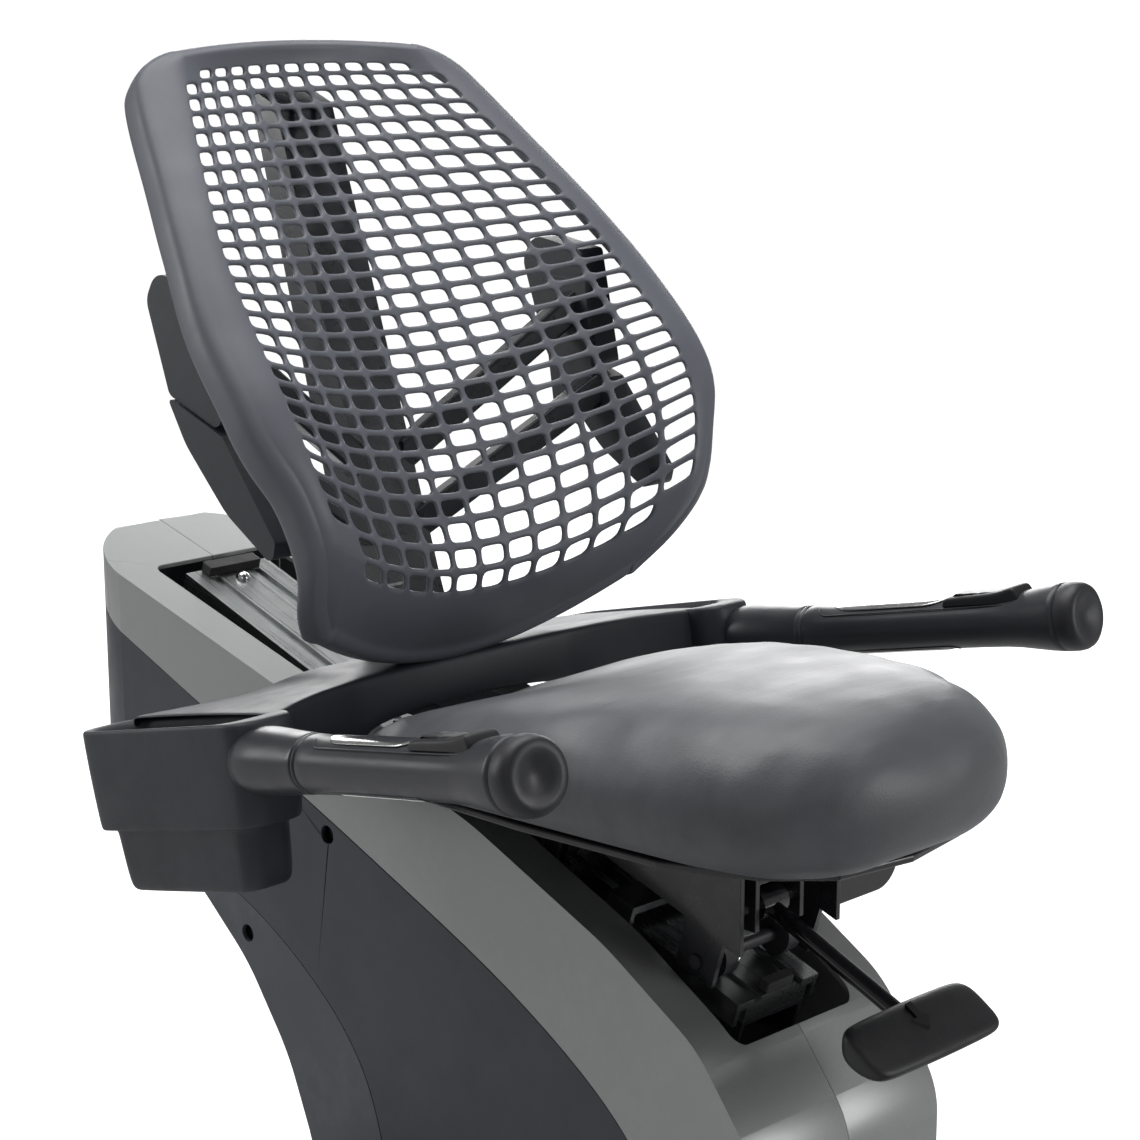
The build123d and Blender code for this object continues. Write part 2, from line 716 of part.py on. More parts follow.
def crank_arm(side):
    """Arm on the left (side 1, pointing down to the rear) or the right (side -1)."""
    y, z = CRANK_Y + side * CRANK_ARM * 0.5, CRANK_Z - side * CRANK_ARM * 0.866
    low, high = (84, 98) if side > 0 else (-98, -84)
    arm = disc((CRANK_Y, CRANK_Z), 19, low, high) + disc((y, z), 15, low, high)
    across = [(CRANK_Y - 13, CRANK_Z - side * 7.5), (CRANK_Y + 13, CRANK_Z + side * 7.5)]
    across += [(y + 11, z + side * 6.4), (y - 11, z - side * 6.4)]
    arm += side_prism(across, low, high)
    arm -= disc((CRANK_Y, CRANK_Z), AXLE_RADIUS, -110, 110)
    return arm - disc((y, z), 7, -110, 110)


def pedal_spot(side):
    return (CRANK_Y + side * CRANK_ARM * 0.5, CRANK_Z - side * CRANK_ARM * 0.866)


def pedal_axle(side):
    y, z = pedal_spot(side)
    low, high = (84, 212) if side > 0 else (-212, -84)
    return disc((y, z), 7, low, high)


def pedal_body(side):
    """Wide ribbed pedal with a raised outer rim."""
    y, z = pedal_spot(side)
    body = Pos(side * 158, y, z) * Box(104, 96, 24)
    body = fillet(body.edges().filter_by(Axis.X), 8)
    body -= disc((y, z), 7 + RUNNING_GAP, -260, 260)
    for step in (-2, -1, 0, 1, 2):
        body -= Pos(side * 158 + step * 18, y, z + 12) * Box(8, 70, 5)
    return body


def pedal_strap(side):
    """Wide strap arched over the foot."""
    y, z = pedal_spot(side)
    inner_x, outer_x = side * 112, side * 204
    low, high = min(inner_x, outer_x), max(inner_x, outer_x)
    arch = Plane((0, y - 16, z + 12.2), x_dir=(1, 0, 0), z_dir=(0, -1, 0)) * make_face(
        ThreePointArc((low, 0), (side * 158, 62), (high, 0)) + Line((high, 0), (low, 0)))
    hollow = Plane((0, y - 16, z + 12.2), x_dir=(1, 0, 0), z_dir=(0, -1, 0)) * make_face(
        ThreePointArc((low + 3, 0), (side * 158, 59), (high - 3, 0)) + Line((high - 3, 0), (low + 3, 0)))
    return extrude(arch, 40) - extrude(hollow, 40)


def flywheel():
    wheel = disc((FLYWHEEL_Y, FLYWHEEL_Z), FLYWHEEL_RADIUS, -24, 4)
    wheel -= disc((FLYWHEEL_Y, FLYWHEEL_Z), 88, -30, -18)
    wheel -= disc((FLYWHEEL_Y, FLYWHEEL_Z), 88, -2, 10)
    wheel += disc((FLYWHEEL_Y, FLYWHEEL_Z), 22, -24, 4)
    wheel += disc((FLYWHEEL_Y, FLYWHEEL_Z), SMALL_PULLEY_RADIUS, 4, 38)
    return wheel - disc((FLYWHEEL_Y, FLYWHEEL_Z), 8 + RUNNING_GAP, -60, 60)


def belt_outline(gap):
    """Open belt around the two pulleys, grown by gap."""
    big = Pos(CRANK_Y, CRANK_Z) * Circle(PULLEY_RADIUS + gap)
    small = Pos(FLYWHEEL_Y, FLYWHEEL_Z) * Circle(SMALL_PULLEY_RADIUS + gap)
    return make_hull(big.edges() + small.edges())


def drive_belt():
    return extrude(Plane.YZ.offset(24) * (belt_outline(0.3 + BELT_THICK) - belt_outline(0.3)), 12)


def brake_arm():
    """Magnet carrier curved around the flywheel's front rim, hinged at its foot."""
    y, z = FLYWHEEL_Y, FLYWHEEL_Z
    ring = disc((y, z), FLYWHEEL_RADIUS + 9, -24, 4) - disc((y, z), FLYWHEEL_RADIUS + 3, -30, 10)
    sector = side_prism([(y, z), (y - 200, z - 90), (y - 200, z + 70)], -30, 10)
    arm = ring & sector
    return arm + disc(BRAKE_PIN, 9, -24, 4) - disc(BRAKE_PIN, 4 + RUNNING_GAP, -30, 10)


def mast_tube():
    tube = rod(MAST_FOOT, MAST_TOP, 25) - rod((0, -601, 380), (0, -560.5, 1121), 22.5)
    return tube + console_bracket()


def mast_cover():
    """Conical moulding where the mast leaves the shroud."""
    along = Vector(*MAST_TOP) - Vector(*MAST_FOOT)
    base = Plane((0, -591.5, 556), z_dir=along)
    cone = loft([base * Circle(44), base.offset(60) * Circle(31)])
    bore = extrude(base.offset(-10) * Circle(25.3), 90)
    shroud = extrude(Plane.YZ.offset(-SHELL_HALF) * front_outline(0), 2 * SHELL_HALF)
    return cone - bore - shroud


def front_handlebar():
    """Short bar across the mast with two upright grips."""
    cross = disc((BAR_Y, FRONT_BAR_Z), 12, -210, 210)
    for side in (-1, 1):
        cross += rod((side * 210, BAR_Y, FRONT_BAR_Z), (side * 210, -506, FRONT_BAR_Z + 110), 12)
        cross += Pos(side * 210, BAR_Y, FRONT_BAR_Z) * Sphere(12)
    clamp = fillet(block(0, -551, FRONT_BAR_Z, 60, 72, 44).edges().filter_by(Axis.X), 10)
    return (cross + clamp) - rod(MAST_FOOT, MAST_TOP, 25)


def front_grips():
    grips = []
    for side in (-1, 1):
        sleeve = rod((side * 210, -527, FRONT_BAR_Z + 18), (side * 210, -505, FRONT_BAR_Z + 115), 16)
        x = side * 210
        grips.append(sleeve - rod((x, BAR_Y, FRONT_BAR_Z), (x, -506, FRONT_BAR_Z + 110), 12))
    return Compound(children=grips)


def console_bracket():
    """Fork on the mast's top that holds the console's pivot."""
    base = rod((0, -560.5, 1121), (0, -559.2, 1143), 28)
    for low in (-30, 22):
        base += block(low + 4, CONSOLE_PIVOT[1], 1157, 8, 24, 40)
    return base - disc((CONSOLE_PIVOT[1], CONSOLE_PIVOT[2]), 5 + RUNNING_GAP, -60, 60)


def console_housing():
    """Wedge-shaped display head, facing the rider, with a pivot lug below."""
    points = [(-592, 1186), (-520, 1192), (-556, 1290), (-612, 1282)]
    head = smooth_prism(points, [10, 8, 8, 14], -115, 115)
    head = fillet(head.faces().sort_by(Axis.X)[0].edges() + head.faces().sort_by(Axis.X)[-1].edges(), 6)
    lug = block(0, CONSOLE_PIVOT[1], 1174, 42, 20, 34)
    pin = disc((CONSOLE_PIVOT[1], CONSOLE_PIVOT[2]), 5, -34, 34)
    return head + lug + pin


def console_front():
    """Screen or keypad frame: a plane lying on the console's sloping front."""
    middle = ((-520 - 556) / 2, (1192 + 1290) / 2)
    lean = math.degrees(math.atan2(98, -36)) - 90
    return Pos(0, middle[0], middle[1]) * Rot(lean, 0, 0)


def console_screen():
    return console_front() * Pos(0, 0.8, 14) * Box(180, 1.6, 52)


def both_sides(piece):
    """A piece and its mirror image, as separate solids of one node."""
    return Compound(children=[piece, mirrored(piece)])


def base_parts():
    corners = [(side * BASE_HALF_WIDTH, y) for side in (-1, 1) for y in (FRONT_FOOT_Y, REAR_FOOT_Y)]
    feet = [levelling_foot(math.copysign(BASE_HALF_WIDTH - 60, x), y) for x, y in corners]
    front = stabilizer(FRONT_FOOT_Y) + wheel_bracket(-200) + wheel_bracket(200)
    return {
        "base_beam": base_beam(),
        "front_stabilizer": front,
        "rear_stabilizer": stabilizer(REAR_FOOT_Y),
        "stabilizer_end_caps": Compound(children=[end_cap(x, y) for x, y in corners]),
        "levelling_feet": Compound(children=feet),
        "transport_wheel_left": transport_wheel(200),
        "transport_wheel_right": transport_wheel(-200),
        "step_cover": step_cover(),
    }


def rear_parts():
    upper, panel, fin, rear = tower_parts()
    return {
        "tower_shell_left": upper,
        "tower_shell_right": mirrored(upper),
        "tower_rear_cap": rear + mirrored(rear),
        "side_panels": both_sides(panel),
        "rear_fins": both_sides(fin),
        "tower_screws": tower_screws(),
        "tower_frame": tower_frame(),
        "seat_rail": seat_rail(),
        "rail_scale": rail_scale(),
        "rail_screws": rail_screws(),
        "rail_end_stops": rail_end_stops(),
    }


def carriage_parts():
    shaft, pin = pull_lever()
    return {
        "carriage_bracket": carriage_bracket() + lever_clevis() + lock_guide(),
        "front_roller": roller_axle(FRONT_ROLLER),
        "rear_roller": roller_axle(REAR_ROLLER),
        "lock_shoe": lock_shoe(),
        "hook_plate": hook_plate(),
        "lever_rod": shaft,
        "lever_pin": pin,
        "lever_handle": lever_handle(),
    }


def seat_parts():
    wings = [wing_upper(), wing_lower()]
    plates = [sensor(1), sensor(-1)]
    return {
        "seat_pan": seat_pan(),
        "seat_cushion": cushion(),
        "seat_bridge": bridge(),
        "side_pods": both_sides(pod()),
        "handle_tubes": both_sides(handle_tube()),
        "handle_collars": both_sides(collar()),
        "handle_grips": both_sides(grip()),
        "grip_caps": both_sides(grip_cap()),
        "key_pods": both_sides(key_pod()),
        "rocker_key_left": rocker_key(),
        "rocker_key_right": mirrored(rocker_key()),
        "pulse_sensors": Compound(children=plates + [mirrored(piece) for piece in plates]),
        "backrest_panel": backrest_panel(),
        "back_frame": back_spine() + back_arm() + mirrored(back_arm()),
        "back_wings": Compound(children=wings + [mirrored(piece) for piece in wings]),
    }


def front_parts():
    return {
        "front_shell_left": front_shell(),
        "front_shell_right": mirrored(front_shell()),
        "drive_frame": drive_frame(),
        "crank_bearings": crank_bearings(),
        "crank_axle": crank_axle(),
        "drive_pulley": drive_pulley(),
        "crank_arms": Compound(children=[crank_arm(1), crank_arm(-1)]),
        "pedal_left": Compound(children=[pedal_body(1), pedal_strap(1)]),
        "pedal_right": Compound(children=[pedal_body(-1), pedal_strap(-1)]),
        "flywheel": flywheel(),
        "drive_belt": drive_belt(),
        "brake_arm": brake_arm(),
        "mast_tube": mast_tube(),
        "mast_cover": mast_cover(),
        "front_handlebar": front_handlebar(),
        "front_grips": front_grips(),
        "console_housing": console_housing(),
        "console_screen": console_screen(),
    }


def build():
    os.makedirs("parts", exist_ok=True)
    for group in (base_parts(), rear_parts(), carriage_parts(), seat_parts(), front_parts()):
        for name, piece in group.items():
            save(piece, name)


build()
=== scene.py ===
import json
import math

import bmesh
import bpy
from mathutils import Matrix, Vector


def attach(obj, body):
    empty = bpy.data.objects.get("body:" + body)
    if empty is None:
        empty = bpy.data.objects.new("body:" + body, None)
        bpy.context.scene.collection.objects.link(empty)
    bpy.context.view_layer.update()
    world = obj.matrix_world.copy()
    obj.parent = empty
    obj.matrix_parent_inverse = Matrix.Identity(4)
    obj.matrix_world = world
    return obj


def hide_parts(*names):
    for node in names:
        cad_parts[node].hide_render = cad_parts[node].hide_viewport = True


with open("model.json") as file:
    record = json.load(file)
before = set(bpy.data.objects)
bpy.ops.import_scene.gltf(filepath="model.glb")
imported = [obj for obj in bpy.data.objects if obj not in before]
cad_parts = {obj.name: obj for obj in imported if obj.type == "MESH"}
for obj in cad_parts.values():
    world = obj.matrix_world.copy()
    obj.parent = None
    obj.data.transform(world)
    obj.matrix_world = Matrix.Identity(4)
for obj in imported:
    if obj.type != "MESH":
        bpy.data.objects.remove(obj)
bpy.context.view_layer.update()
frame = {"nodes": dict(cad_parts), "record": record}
NODES = frame["nodes"]
SLOT_OF = {part["node"]: part["material_slot"] for part in frame["record"]["subparts"]}


# ------------ shared node groups


def new_group(name, inputs, outputs):
    """An empty shader group with its sockets; returns the tree and its two ends."""
    tree = bpy.data.node_groups.new(name, "ShaderNodeTree")
    for label, kind, value in inputs:
        socket = tree.interface.new_socket(name=label, in_out="INPUT", socket_type=kind)
        if value is not None:
            socket.default_value = value
    for label, kind in outputs:
        tree.interface.new_socket(name=label, in_out="OUTPUT", socket_type=kind)
    return tree, tree.nodes.new("NodeGroupInput"), tree.nodes.new("NodeGroupOutput")


def math_node(tree, operation, first, second=0.5, clamp=False):
    node = tree.nodes.new("ShaderNodeMath")
    node.operation = operation
    node.use_clamp = clamp
    for socket, value in zip(node.inputs, (first, second)):
        if isinstance(value, (int, float)):
            socket.default_value = value
        else:
            tree.links.new(value, socket)
    return node.outputs[0]


def noise(tree, vector, scale, detail=3.0, rough=0.5):
    node = tree.nodes.new("ShaderNodeTexNoise")
    node.inputs["Detail"].default_value = detail
    node.inputs["Roughness"].default_value = rough
    tree.links.new(vector, node.inputs["Vector"])
    if isinstance(scale, (int, float)):
        node.inputs["Scale"].default_value = scale
    else:
        tree.links.new(scale, node.inputs["Scale"])
    return node.outputs["Fac"]


def spread(tree, value, low, high, out_low=0.0, out_high=1.0):
    """Maps value from low..high to out_low..out_high, held at both ends."""
    node = tree.nodes.new("ShaderNodeMapRange")
    node.clamp = True
    tree.links.new(value, node.inputs["Value"])
    for label, number in (("From Min", low), ("From Max", high), ("To Min", out_low), ("To Max", out_high)):
        if isinstance(number, (int, float)):
            node.inputs[label].default_value = number
        else:
            tree.links.new(number, node.inputs[label])
    return node.outputs["Result"]


def object_place(tree, stretch=(1, 1, 1), turn=(0, 0, 0)):
    place = tree.nodes.new("ShaderNodeTexCoord")
    mapping = tree.nodes.new("ShaderNodeMapping")
    mapping.inputs["Scale"].default_value = stretch
    mapping.inputs["Rotation"].default_value = turn
    tree.links.new(place.outputs["Object"], mapping.inputs["Vector"])
    return mapping.outputs["Vector"]


def moulded_grain_group():
    """Fine grain of a moulded plastic: a height, a slow tone change and a roughness change."""
    tree, start, end = new_group(
        "moulded_grain",
        [("Scale", "NodeSocketFloat", 900.0), ("Mottle", "NodeSocketFloat", 12.0)],
        [("Height", "NodeSocketFloat"), ("Tone", "NodeSocketFloat"), ("Polish", "NodeSocketFloat")],
    )
    place = object_place(tree)
    fine = noise(tree, place, start.outputs["Scale"], 2.0, 0.6)
    pits = tree.nodes.new("ShaderNodeTexVoronoi")
    tree.links.new(place, pits.inputs["Vector"])
    tree.links.new(math_node(tree, "MULTIPLY", start.outputs["Scale"], 0.55), pits.inputs["Scale"])
    height = math_node(tree, "ADD", fine, math_node(tree, "MULTIPLY", pits.outputs["Distance"], 0.7))
    mottle = noise(tree, place, start.outputs["Mottle"], 4.0, 0.55)
    handled = noise(tree, place, math_node(tree, "MULTIPLY", start.outputs["Mottle"], 2.7), 5.0, 0.6)
    tree.links.new(height, end.inputs["Height"])
    tree.links.new(spread(tree, mottle, 0.3, 0.7), end.inputs["Tone"])
    tree.links.new(spread(tree, handled, 0.35, 0.68), end.inputs["Polish"])
    return tree


def edge_wear_group():
    """Where corners stand proud and have been rubbed, broken up by noise."""
    tree, start, end = new_group(
        "edge_wear",
        [("Amount", "NodeSocketFloat", 0.5), ("Breakup", "NodeSocketFloat", 60.0)],
        [("Mask", "NodeSocketFloat")],
    )
    geometry = tree.nodes.new("ShaderNodeNewGeometry")
    proud = spread(tree, geometry.outputs["Pointiness"], 0.51, 0.58)
    cloud = noise(tree, object_place(tree), start.outputs["Breakup"], 5.0, 0.65)
    broken = spread(tree, cloud, 0.42, 0.62)
    rubbed = math_node(tree, "MULTIPLY", proud, broken)
    mask = math_node(tree, "MULTIPLY", rubbed, start.outputs["Amount"], True)
    tree.links.new(mask, end.inputs["Mask"])
    return tree


def settled_dust_group():
    """Thin dust on faces that look up."""
    tree, start, end = new_group(
        "settled_dust", [("Amount", "NodeSocketFloat", 0.1)], [("Mask", "NodeSocketFloat")]
    )
    geometry = tree.nodes.new("ShaderNodeNewGeometry")
    parts = tree.nodes.new("ShaderNodeSeparateXYZ")
    tree.links.new(geometry.outputs["Normal"], parts.inputs[0])
    upward = spread(tree, parts.outputs["Z"], 0.35, 0.98)
    patch = spread(tree, noise(tree, object_place(tree), 34.0, 6.0, 0.7), 0.4, 0.75)
    lying = math_node(tree, "MULTIPLY", upward, patch)
    mask = math_node(tree, "MULTIPLY", lying, start.outputs["Amount"], True)
    tree.links.new(mask, end.inputs["Mask"])
    return tree


def brushed_lines_group():
    """Long fine scratches along one axis, for drawn or brushed metal."""
    tree, start, end = new_group(
        "brushed_lines",
        [("Stretch", "NodeSocketVector", (400.0, 4.0, 400.0)), ("Slope", "NodeSocketFloat", 0.0)],
        [("Height", "NodeSocketFloat"), ("Tone", "NodeSocketFloat")],
    )
    place = tree.nodes.new("ShaderNodeTexCoord")
    scaled = tree.nodes.new("ShaderNodeVectorMath")
    scaled.operation = "MULTIPLY"
    level = tree.nodes.new("ShaderNodeVectorRotate")
    level.rotation_type = "X_AXIS"
    tree.links.new(place.outputs["Object"], level.inputs["Vector"])
    tree.links.new(start.outputs["Slope"], level.inputs["Angle"])
    tree.links.new(level.outputs["Vector"], scaled.inputs[0])
    tree.links.new(start.outputs["Stretch"], scaled.inputs[1])
    lines = noise(tree, scaled.outputs[0], 1.0, 4.0, 0.6)
    broad = noise(tree, place.outputs["Object"], 9.0, 3.0, 0.5)
    tree.links.new(lines, end.inputs["Height"])
    fine_share = math_node(tree, "MULTIPLY", lines, 0.6)
    tone = math_node(tree, "ADD", fine_share, math_node(tree, "MULTIPLY", broad, 0.4))
    tree.links.new(spread(tree, tone, 0.3, 0.7), end.inputs["Tone"])
    return tree


def metal_flake_group():
    """Silver paint: tiny flakes, slight orange peel."""
    tree, start, end = new_group(
        "metal_flake",
        [("Flake Scale", "NodeSocketFloat", 2400.0)],
        [("Flake", "NodeSocketFloat"), ("Peel", "NodeSocketFloat"), ("Tone", "NodeSocketFloat")],
    )
    place = object_place(tree)
    cells = tree.nodes.new("ShaderNodeTexVoronoi")
    tree.links.new(place, cells.inputs["Vector"])
    tree.links.new(start.outputs["Flake Scale"], cells.inputs["Scale"])
    parts = tree.nodes.new("ShaderNodeSeparateColor")
    tree.links.new(cells.outputs["Color"], parts.inputs[0])
    tree.links.new(parts.outputs[0], end.inputs["Flake"])
    tree.links.new(noise(tree, place, 420.0, 2.0, 0.5), end.inputs["Peel"])
    tree.links.new(spread(tree, noise(tree, place, 7.0, 3.0, 0.5), 0.3, 0.7), end.inputs["Tone"])
    return tree


def skin_crease_group():
    """Foam-backed skin: pebble grain, long soft creases with painted shade in their troughs, and worn sheen
    where people sit.
    """
    tree, start, end = new_group(
        "skin_crease",
        [("Grain Scale", "NodeSocketFloat", 700.0)],
        [("Height", "NodeSocketFloat"), ("Tone", "NodeSocketFloat"), ("Polish", "NodeSocketFloat")],
    )
    place = object_place(tree)
    pebble = tree.nodes.new("ShaderNodeTexVoronoi")
    tree.links.new(place, pebble.inputs["Vector"])
    tree.links.new(start.outputs["Grain Scale"], pebble.inputs["Scale"])
    streak = noise(tree, object_place(tree, (9.0, 42.0, 30.0), (0, 0, 0.5)), 1.0, 5.0, 0.62)
    ripple = noise(tree, object_place(tree, (26.0, 130.0, 60.0), (0, 0, 0.45)), 1.0, 3.0, 0.55)
    height = math_node(tree, "MULTIPLY", pebble.outputs["Distance"], 0.25)
    height = math_node(tree, "ADD", height, math_node(tree, "MULTIPLY", streak, 1.3))
    height = math_node(tree, "ADD", height, math_node(tree, "MULTIPLY", ripple, 0.5))
    tree.links.new(height, end.inputs["Height"])
    # painted shade: the Tone follows the crease height, darker in the crease troughs and lighter on the
    # ridges
    tree.links.new(spread(tree, streak, 0.32, 0.66), end.inputs["Tone"])
    tree.links.new(spread(tree, noise(tree, place, 11.0, 5.0, 0.6), 0.35, 0.66), end.inputs["Polish"])
    return tree


GROUPS = {
    "grain": moulded_grain_group(),
    "wear": edge_wear_group(),
    "dust": settled_dust_group(),
    "brushed": brushed_lines_group(),
    "flake": metal_flake_group(),
    "crease": skin_crease_group(),
}


# ------------ materials


def start_material(name):
    material = bpy.data.materials.new(name)
    material.use_nodes = True
    tree = material.node_tree
    return material, tree, tree.nodes["Principled BSDF"]


def use_group(tree, key, **values):
    node = tree.nodes.new("ShaderNodeGroup")
    node.node_tree = GROUPS[key]
    for label, value in values.items():
        node.inputs[label.replace("_", " ")].default_value = value
    return node


def blend_colours(tree, share, first, second):
    """first where share is 0, second where it is 1; each is a colour or a socket."""
    mix = tree.nodes.new("ShaderNodeMix")
    mix.data_type = "RGBA"
    tree.links.new(share, mix.inputs["Factor"])
    for label, value in (("A", first), ("B", second)):
        socket = [s for s in mix.inputs if s.name == label and s.type == "RGBA"][0]
        if isinstance(value, tuple):
            socket.default_value = (*value, 1.0)
        else:
            tree.links.new(value, socket)
    return [s for s in mix.outputs if s.type == "RGBA"][0]


def bump(tree, height, strength, distance, shader):
    node = tree.nodes.new("ShaderNodeBump")
    node.inputs["Strength"].default_value = strength
    node.inputs["Distance"].default_value = distance
    tree.links.new(height, node.inputs["Height"])
    tree.links.new(node.outputs["Normal"], shader.inputs["Normal"])


def polish(tree, source, low, high, shader):
    """Roughness between low and high, following the group's own polish value."""
    value = spread(tree, source.outputs["Polish"], 0.0, 1.0, low, high)
    tree.links.new(value, shader.inputs["Roughness"])


def scaled(colour, factor):
    return tuple(min(1.0, channel * factor) for channel in colour)


def moulded(name, colour, rough=(0.38, 0.5), grain=900.0, depth=0.12, wear=0.25, dust=0.04, spec=0.5,
            tone=0.12):
    """Moulded plastic or rubber with grain, slow tone change, rubbed corners and a trace of dust."""
    material, tree, shader = start_material(name)
    grain_node = use_group(tree, "grain", Scale=grain)
    dark, pale = scaled(colour, 1 - tone), scaled(colour, 1 + tone)
    body = blend_colours(tree, grain_node.outputs["Tone"], dark, pale)
    worn = use_group(tree, "wear", Amount=wear)
    body = blend_colours(tree, worn.outputs["Mask"], body, tuple(c * 1.6 + 0.02 for c in colour))
    dusty = use_group(tree, "dust", Amount=dust)
    body = blend_colours(tree, dusty.outputs["Mask"], body, (0.32, 0.31, 0.3))
    tree.links.new(body, shader.inputs["Base Color"])
    polish(tree, grain_node, *rough, shader)
    shader.inputs["Specular IOR Level"].default_value = spec
    bump(tree, grain_node.outputs["Height"], depth, 0.0004, shader)
    return material


def brushed(name, colour, rough=(0.22, 0.36), stretch=(400.0, 4.0, 400.0), depth=0.05, wear=0.1,
            slope=0.0):
    """Bare metal with fine lines along one axis."""
    material, tree, shader = start_material(name)
    lines = use_group(tree, "brushed", Stretch=stretch, Slope=slope)
    body = blend_colours(tree, lines.outputs["Tone"], scaled(colour, 0.86), scaled(colour, 1.08))
    worn = use_group(tree, "wear", Amount=wear)
    body = blend_colours(tree, worn.outputs["Mask"], body, (0.85, 0.86, 0.86))
    tree.links.new(body, shader.inputs["Base Color"])
    tree.links.new(spread(tree, lines.outputs["Tone"], 0.0, 1.0, *rough), shader.inputs["Roughness"])
    shader.inputs["Metallic"].default_value = 1.0
    bump(tree, lines.outputs["Height"], depth, 0.0003, shader)
    return material


def coated_steel(name, colour, rough=(0.25, 0.4), coat=0.3, depth=0.08):
    """Powder-coated or painted steel, with orange peel and chipped corners."""
    material, tree, shader = start_material(name)
    grain_node = use_group(tree, "grain", Scale=520.0, Mottle=20.0)
    body = blend_colours(tree, grain_node.outputs["Tone"], scaled(colour, 0.85), scaled(colour, 1.15))
    worn = use_group(tree, "wear", Amount=0.12, Breakup=140.0)
    body = blend_colours(tree, worn.outputs["Mask"], body, (0.12, 0.12, 0.13))
    dusty = use_group(tree, "dust", Amount=0.015)
    body = blend_colours(tree, dusty.outputs["Mask"], body, (0.2, 0.2, 0.2))
    tree.links.new(body, shader.inputs["Base Color"])
    polish(tree, grain_node, *rough, shader)
    shader.inputs["Coat Weight"].default_value = coat
    shader.inputs["Coat Roughness"].default_value = 0.12
    bump(tree, grain_node.outputs["Height"], depth, 0.0004, shader)
    return material


def silver_paint(name, colour):
    """Metallic silver paint on plastic."""
    material, tree, shader = start_material(name)
    flake = use_group(tree, "flake")
    body = blend_colours(tree, flake.outputs["Flake"], scaled(colour, 0.9), scaled(colour, 1.1))
    body = blend_colours(tree, flake.outputs["Tone"], body, scaled(colour, 0.97))
    worn = use_group(tree, "wear", Amount=0.15)
    body = blend_colours(tree, worn.outputs["Mask"], body, scaled(colour, 1.25))
    tree.links.new(body, shader.inputs["Base Color"])
    flaked = spread(tree, flake.outputs["Flake"], 0.0, 1.0, 0.34, 0.44)
    tree.links.new(flaked, shader.inputs["Roughness"])
    shader.inputs["Metallic"].default_value = 0.55
    shader.inputs["Coat Weight"].default_value = 0.12
    shader.inputs["Coat Roughness"].default_value = 0.25
    bump(tree, flake.outputs["Peel"], 0.04, 0.0003, shader)
    return material


def seat_skin(name, colour):
    """Soft skin over foam, with a broad sheen and long shallow creases, painted darker in their troughs as
    shade.
    """
    material, tree, shader = start_material(name)
    crease = use_group(tree, "crease")
    # painted shade in the creases: the colour is darker in the crease troughs and lighter on the ridges
    body = blend_colours(tree, crease.outputs["Tone"], scaled(colour, 0.88), scaled(colour, 1.14))
    worn = use_group(tree, "wear", Amount=0.2)
    body = blend_colours(tree, worn.outputs["Mask"], body, scaled(colour, 1.5))
    tree.links.new(body, shader.inputs["Base Color"])
    polish(tree, crease, 0.4, 0.52, shader)
    shader.inputs["Sheen Weight"].default_value = 0.1
    shader.inputs["Sheen Roughness"].default_value = 0.4
    shader.inputs["Specular IOR Level"].default_value = 0.7
    bump(tree, crease.outputs["Height"], 0.22, 0.0012, shader)
    return material


def display_glass(name, colour):
    """Dark glossy display with a faint smear."""
    material, tree, shader = start_material(name)
    grain_node = use_group(tree, "grain", Scale=300.0, Mottle=30.0)
    body = blend_colours(tree, grain_node.outputs["Tone"], scaled(colour, 0.8), scaled(colour, 1.2))
    tree.links.new(body, shader.inputs["Base Color"])
    polish(tree, grain_node, 0.06, 0.16, shader)
    shader.inputs["Coat Weight"].default_value = 0.6
    shader.inputs["Coat Roughness"].default_value = 0.05
    return material


RAIL_TURN = math.radians(17.3)
ALL_WAYS = (300.0, 300.0, 300.0)

# colour, roughness range, grain scale, grain depth, wear, dust, specular level, tone change
MOULDED = {
    "dark_plastic": ((0.03, 0.034, 0.042),),
    "rubber": ((0.02, 0.02, 0.02), (0.6, 0.8), 500.0, 0.25),
    "wheel_plastic": ((0.02, 0.02, 0.024), (0.35, 0.5)),
    "charcoal_plastic": ((0.036, 0.041, 0.052), (0.32, 0.44), 1100.0, 0.08),
    "fin_grey": ((0.06, 0.067, 0.08), (0.3, 0.4), 1100.0, 0.07),
    "scale_black": ((0.008, 0.008, 0.01), (0.25, 0.35)),
    "scale_white": ((0.62, 0.62, 0.6), (0.4, 0.5), 900.0, 0.05, 0.1),
    "black_plastic": ((0.012, 0.0125, 0.015), (0.42, 0.55), 1000.0, 0.16),
    "screw_black": ((0.01, 0.01, 0.012), (0.3, 0.4)),
    "mark_black": ((0.004, 0.004, 0.005), (0.3, 0.4), 900.0, 0.05, 0.0),
    "pod_plastic": ((0.024, 0.027, 0.035), (0.44, 0.54), 1200.0, 0.09),
    "grip_plastic": ((0.03, 0.032, 0.038), (0.3, 0.42), 1300.0, 0.07),
    "cap_plastic": ((0.02, 0.021, 0.026), (0.4, 0.5), 1100.0, 0.1),
    "key_rubber": ((0.01, 0.01, 0.012), (0.35, 0.45)),
    "back_plastic": ((0.13, 0.137, 0.162), (0.4, 0.5), 1300.0, 0.08, 0.15, 0.02, 0.45, 0.05),
    "pedal_plastic": ((0.014, 0.014, 0.017), (0.45, 0.6), 700.0, 0.2),
    "belt_rubber": ((0.012, 0.012, 0.012), (0.6, 0.75), 400.0, 0.3),
    "foam": ((0.02, 0.02, 0.022), (0.75, 0.9), 420.0, 0.5),
    "console_plastic": ((0.035, 0.038, 0.046),),
}

# colour, roughness range, coat, depth of the orange peel
COATED = {
    "grey_steel": ((0.12, 0.125, 0.14),),
    "dark_steel": ((0.014, 0.0145, 0.018),),
    "black_gloss": ((0.006, 0.006, 0.008), (0.1, 0.2), 0.7, 0.03),
    "frame_dark": ((0.022, 0.024, 0.03),),
    "crank_metal": ((0.015, 0.015, 0.018),),
}

